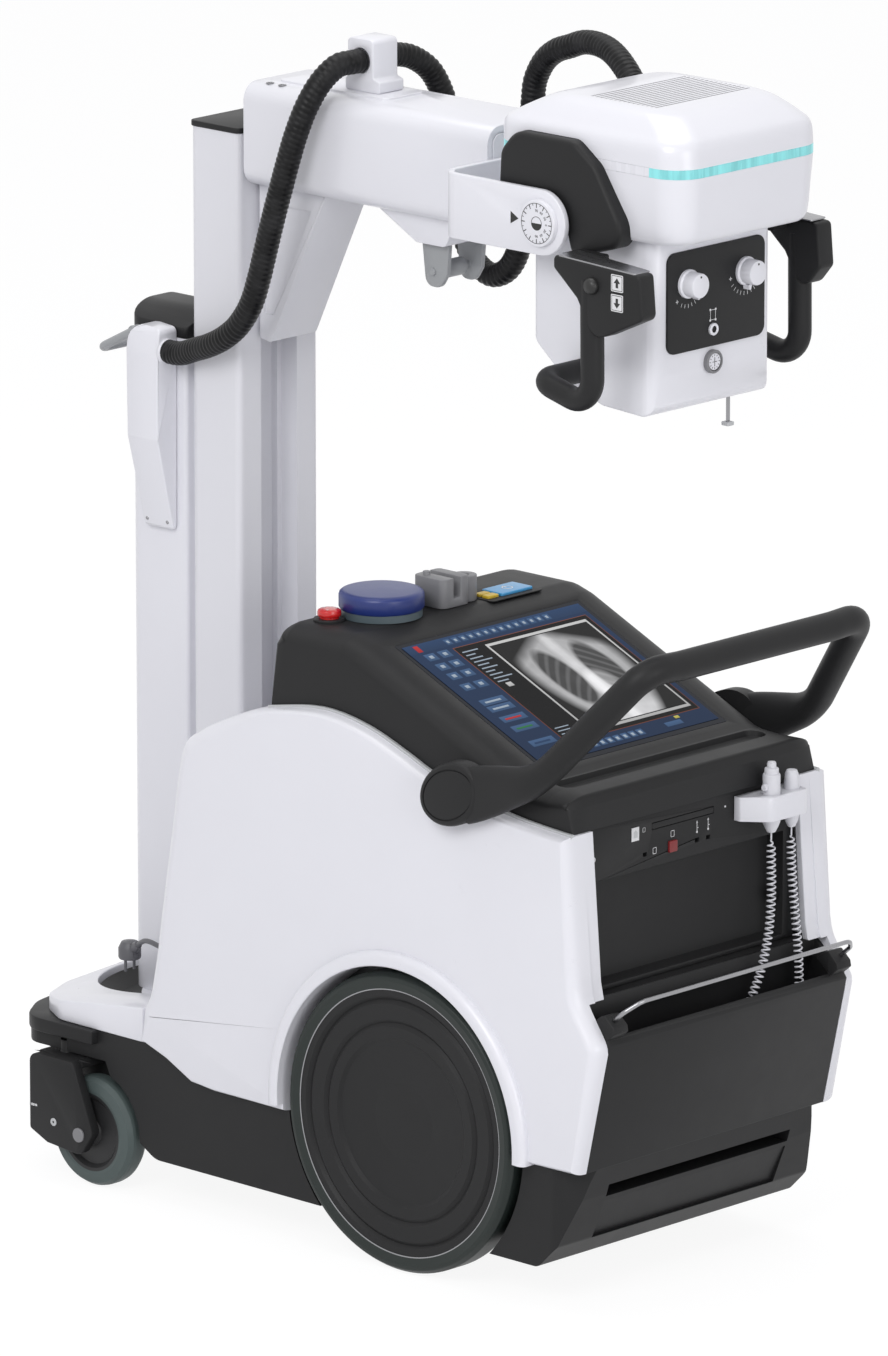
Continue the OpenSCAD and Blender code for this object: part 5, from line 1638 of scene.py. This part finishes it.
def make_back():
    panel = eased(copy_of("rear_panel"), 0.8)
    parts = [painted(panel, charcoal())]
    parts.append(flat("socket_frame", box_points(-8, -10.5, 8, 10.5), 1.2, back_place(-124, 717),
                      print_white()))
    parts.append(flat("socket_mouth", [(-4.5, -5.5), (4.5, -5.5), (4.5, 3), (0, 6.5), (-4.5, 3)], 1.4,
                      back_place(-124, 717), strip_grey()))
    shape = bmesh.new()
    plate(shape, outline([(-10, -9, 2), (8, -9, 2), (8, 9, 2), (-10, 9, 2)]), 531, 536.5, 1.0,
          lambda a, y, b: Vector((y, a - 40, b + 683)))
    parts.append(painted(mesh_of("rocker", shape), socket_red()))
    shape = bmesh.new()
    plate(shape, outline([(-69, -4.6, 1.5), (69, -4.6, 1.5), (69, 4.6, 1.5), (-69, 4.6, 1.5)]), 525, 532.6,
          0.8, lambda a, y, b: Vector((y, a - 16.5, b + 721.5)))
    parts.append(painted(mesh_of("flap", shape), charcoal()))
    shape = bmesh.new()
    lathe(shape, [(1.4, 0), (4.2, 0), (4.2, 1.4), (3.2, 2.2), (1.4, 2.2)], (532.7, -217, 695), (1, 0, 0), 32)
    parts.append(painted(mesh_of("lock", shape), print_white()))
    shape = bmesh.new()
    lathe(shape, [(0, 0), (1.6, 0), (1.6, 0.8), (0, 1.0)], (532.7, 78, 722), (1, 0, 0), 16)
    parts.append(painted(mesh_of("pin", shape), print_white()))
    for y in (15, 40):
        parts.append(flat("usb_stem", box_points(-0.5, -8, 0.5, 8), 0.2, back_place(y, 702), print_white()))
        parts.append(flat("usb_top", [(-2, 6), (2, 6), (0, 10)], 0.2, back_place(y, 702), print_white()))
        parts.append(flat("usb_foot", ring_points(1.7, 16), 0.25,
                          back_place(y, 702) @ Matrix.Translation((0, -8 * MM, 0)), print_white()))
        parts.append(flat("usb_side", box_points(0, -2, 3.4, -1), 0.2, back_place(y, 702), print_white()))
    for points in (box_points(-4, -5, 4, -4.2), box_points(-4, 4.2, 4, 5), box_points(-4, -5, -3.2, 5),
                   box_points(3.2, -5, 4, 5)):
        parts.append(flat("port_mark", points, 0.2, back_place(-80, 683), print_white()))
        parts.append(flat("switch_mark", points, 0.2, back_place(-40, 702), print_white()))
        parts.append(flat("net_mark", [p * 0.7 for p in points], 0.2, back_place(-104, 720), print_white()))
    piece("back_panel_sockets", joined("back_panel_sockets", parts), "cart", None,
          ["rear_panel"])
    shape = bmesh.new()
    lathe(shape, [(0, 0), (7, 0), (8.5, 4), (9, 9), (7.5, 12), (0, 13)], (517, 211, 556), (0, -1, 0), 32)
    piece("compartment_knob", mesh_of("compartment_knob", shape), "cart", charcoal())
    piece("bin_body", eased(copy_of("detector_bin"), 1.4), "cart", charcoal(),
          ["detector_bin"])
    shape = bmesh.new()
    rows = [(614.4, -256, 469.2, 0), (632, -256, 484, 16), (650, -234, 501, 24), (650, 234, 501, 24),
            (632, 256, 484, 16), (614.4, 256, 469.2, 0)]
    sweep(shape, route(rows, 10), round_section(3.5, 20))
    piece("bin_wire", mesh_of("bin_wire", shape, 60), "cart", bare_steel(), ["bin_rail"])


def make_switches():
    parts = []
    shape = bmesh.new()
    lathe(shape, [(0, 0), (3.2, 0), (6.4, 1.2), (8, 4), (11, 10), (13.6, 17), (14.7, 23), (14.7, 56),
                  (14.3, 59), (13.6, 62), (13.6, 90), (13.0, 92.4), (11, 93.4), (11, 100), (10.2, 101.6),
                  (7.2, 102.4), (7.0, 109), (6, 111.2), (0, 112)], (561, 152, 672), (0, 0, 1), 48)
    parts.append(mesh_of("switch", shape, 30))
    shape = bmesh.new()
    lathe(shape, [(0, 0), (5.5, 0), (5.5, 3.2), (4.4, 4.8), (0, 5.2)], (561, 138.4, 745), (0, -1, 0), 32)
    parts.append(mesh_of("side_key", shape, 30))
    shape = bmesh.new()
    lathe(shape, [(0, 0), (3.2, 0), (6, 1.4), (7, 4), (10, 10), (12.7, 22), (12.7, 62), (12.0, 72),
                  (10.6, 84), (8, 90), (0, 92)], (561, 198, 672), (0, 0, 1), 48)
    parts.append(mesh_of("second", shape, 30))
    piece("hand_switches", joined("hand_switches", parts, 30), "cart", cord_white(),
          ["hand_switch"])
    clip = eased(copy_of("switch_holder"), 1.0)
    piece("switch_clip", clip, "cart", cover_white(), ["switch_holder"])


# Column and arm


def make_column():
    tick = flat("tick", box_points(-6, -0.5, 6, 0.5), 0.2, Matrix(), print_black())
    place = set_at((-353, -40.05, 700), (1, 0, 0), (0, 0, 1))
    marks = repeated("height_scale", tick, 44, print_black(), step=(0, 20, 0), place=place)
    place = set_at((-331.8, -62, 700), (0, 1, 0), (0, 0, 1))
    del place
    piece("column_scale", marks, "column", None)
    shape = bmesh.new()
    rows = [(-552, -88, 1326, 0), (-638, -88, 1282, 20), (-638, 88, 1282, 20), (-552, 88, 1326, 0)]
    sweep(shape, route(rows, 10), round_section(7, 20))
    bow = mesh_of("bow", shape, 60)
    ends = []
    for sign in (-1, 1):
        shape = bmesh.new()
        lathe(shape, [(0, 76.3), (9, 76.3), (9, 90), (8, 92), (0, 92)], (-562, 0, 1321), (0, sign, 0), 32)
        ends.append(mesh_of("boss", shape))
    piece("cover_grab_bar", joined("cover_grab_bar", [bow, *ends]), "column", bracket_grey(),
          ["cover_handle"])
    screw = bmesh.new()
    lathe(screw, [(0, -0.4), (3.4, -0.4), (3.4, 0.6), (2.6, 1.2), (1.2, 1.2), (0.9, 0.4), (0, 0.4)],
          (0, 0, 0), (0, 0, 1), 20)
    item = mesh_of("screw", screw)
    place = set_at((-531, -90.4, 1028), (1, 0, 0), (0, 0, 1))
    piece("duct_screws", repeated("duct_screws", item, 2, bare_steel(), step=(44, 0, 0), place=place),
          "column", None)


def make_arm():
    screw = bmesh.new()
    lathe(screw, [(0, 0), (6.5, 0), (6.5, 0.8), (5.8, 1.2), (3.2, 1.2), (2.8, -0.8), (0, -0.8)], (0, 0, 0),
          (0, 0, 1), 24)
    item = mesh_of("screw", screw)
    rows = []
    for y in (-60, 60):
        place = Matrix.Translation(Vector((-290, y, 1746.6)) * MM)
        rows.append(repeated("arm_screws", item, 2, cast_grey(), step=(26, 0, 0), place=place))
    piece("arm_top_screws", joined("arm_top_screws", rows), "arm", None)


# Finishes of the CAD nodes that stay, and copies of others with their edges rounded


STAYING = {
    "chassis": charcoal, "battery_block": bracket_grey, "body_shell": cover_white, "recess_ring": charcoal,
    "canister": canister_grey, "lead_gland": matt_black, "tyre_left": tyre_black,
    "tyre_right": tyre_black, "hub_left": charcoal, "hub_right": charcoal, "column": powder_white}
EASED = {
    "front_deck": (cover_white, "cart", 2.4, "white_cover"),
    "front_bumper": (charcoal, "cart", 2.0, "dark_plastic"), "dock_post": (cast_grey, "cart", 1.2, "cast_metal"),
    "column_cap": (charcoal, "column", 1.2, "dark_plastic"),
    "column_cover": (cover_white, "column", 1.2, "white_cover"),
    "cover_cap": (charcoal, "column", 2.0, "dark_plastic"),
    "hose_duct": (cover_white, "column", 2.0, "white_cover"),
    "arm_outer": (cover_white, "arm", 1.2, "white_cover"), "carriage": (powder_white, "arm", 1.2, "white_metal"),
    "dock_bracket": (bracket_grey, "arm", 1.0, "cast_metal"),
    "hose_clamp": (cover_white, "arm", 1.6, "white_cover"),
    "arm_inner": (powder_white, "inner_arm", 1.0, "white_metal"), "yoke": (cover_white, "yoke", 1.6, "white_cover")}


def finish_nodes():
    for node, finish in STAYING.items():
        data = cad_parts[node].data
        data.materials.clear()
        data.materials.append(finish())
    for side in ("left", "right"):
        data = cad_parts["castor_wheel_" + side].data
        data.materials.clear()
        data.materials.append(castor_grey(side))
    for node, (finish, body, width, slot) in EASED.items():
        piece(node + "_finished", eased(copy_of(node), width), body, finish(), [node])


# Operators


def operator(word, label, doc, action):
    """An operator class that makes one piece or a group of like pieces."""

    def execute(self, context):
        action()
        return {"FINISHED"}

    return type("XRAY_OT_" + word, (bpy.types.Operator,), {
        "bl_idname": "xray_unit." + word, "bl_label": label, "__doc__": doc, "execute": execute})


OPERATORS = [
    operator("stage", "Stage", "Camera, floor and soft studio light", make_stage),
    operator("hoses", "Corrugated hose", "The four stretches of the corrugated hose", make_hoses),
    operator("curly_cord", "Curly cord", "The hand switch's curly cord", make_curly_cord),
    operator("mains_lead", "Mains lead", "The mains lead and its plug", make_mains_lead),
    operator("covers", "Side covers", "Both side covers with their arches", make_covers),
    operator("console", "Console", "The console's housing and the strips at its foot", make_console),
    operator("screen", "Screen", "The display and what it shows", make_screen),
    operator("console_fittings", "Console fittings", "Canister lid, stop button and key pads",
             make_console_fittings),
    operator("push_handle", "Push handle", "The push handle and its lugs", make_push_handle),
    operator("wheels", "Wheels", "Trim of the drive wheels and the castor forks", make_wheels),
    operator("head", "Tube head", "Shells, light band and side pads of the head", make_head),
    operator("dials", "Dials", "Tilt dials and their pointers", make_dials),
    operator("collimator", "Collimator", "Housing, panel, knobs and gauge", make_collimator),
    operator("grips", "Grips", "Both grips of the head", make_grips),
    operator("back", "Back", "Back panel with its sockets, the bin and its rail", make_back),
    operator("switches", "Hand switches", "Hand switches and their clip", make_switches),
    operator("column", "Column", "The column's scale, grab bar and screws", make_column),
    operator("arm", "Arm", "The arm's screws", make_arm),
    operator("finishes", "Finishes", "Finishes of the frame's own nodes", finish_nodes),
]


class XRAY_PT_panel(bpy.types.Panel):
    """Lists the pieces that can be made."""

    bl_label = "X-ray Unit"
    bl_idname = "XRAY_PT_panel"
    bl_space_type = "VIEW_3D"
    bl_region_type = "UI"
    bl_category = "X-ray Unit"

    def draw(self, context):
        for name in XrayUnitSettings.__annotations__:
            self.layout.prop(context.scene.xray_unit, name)
        for made in OPERATORS:
            self.layout.operator(made.bl_idname)


CLASSES = [XrayUnitSettings, *OPERATORS, XRAY_PT_panel]


def register():
    for made in CLASSES:
        bpy.utils.register_class(made)
    bpy.types.Scene.xray_unit = bpy.props.PointerProperty(type=XrayUnitSettings)


def unregister():
    del bpy.types.Scene.xray_unit
    for made in reversed(CLASSES):
        bpy.utils.unregister_class(made)


def main():
    register()
    for made in OPERATORS:
        word = made.bl_idname.split(".")[1]
        getattr(bpy.ops.xray_unit, word)()


if __name__ == "__main__":
    main()
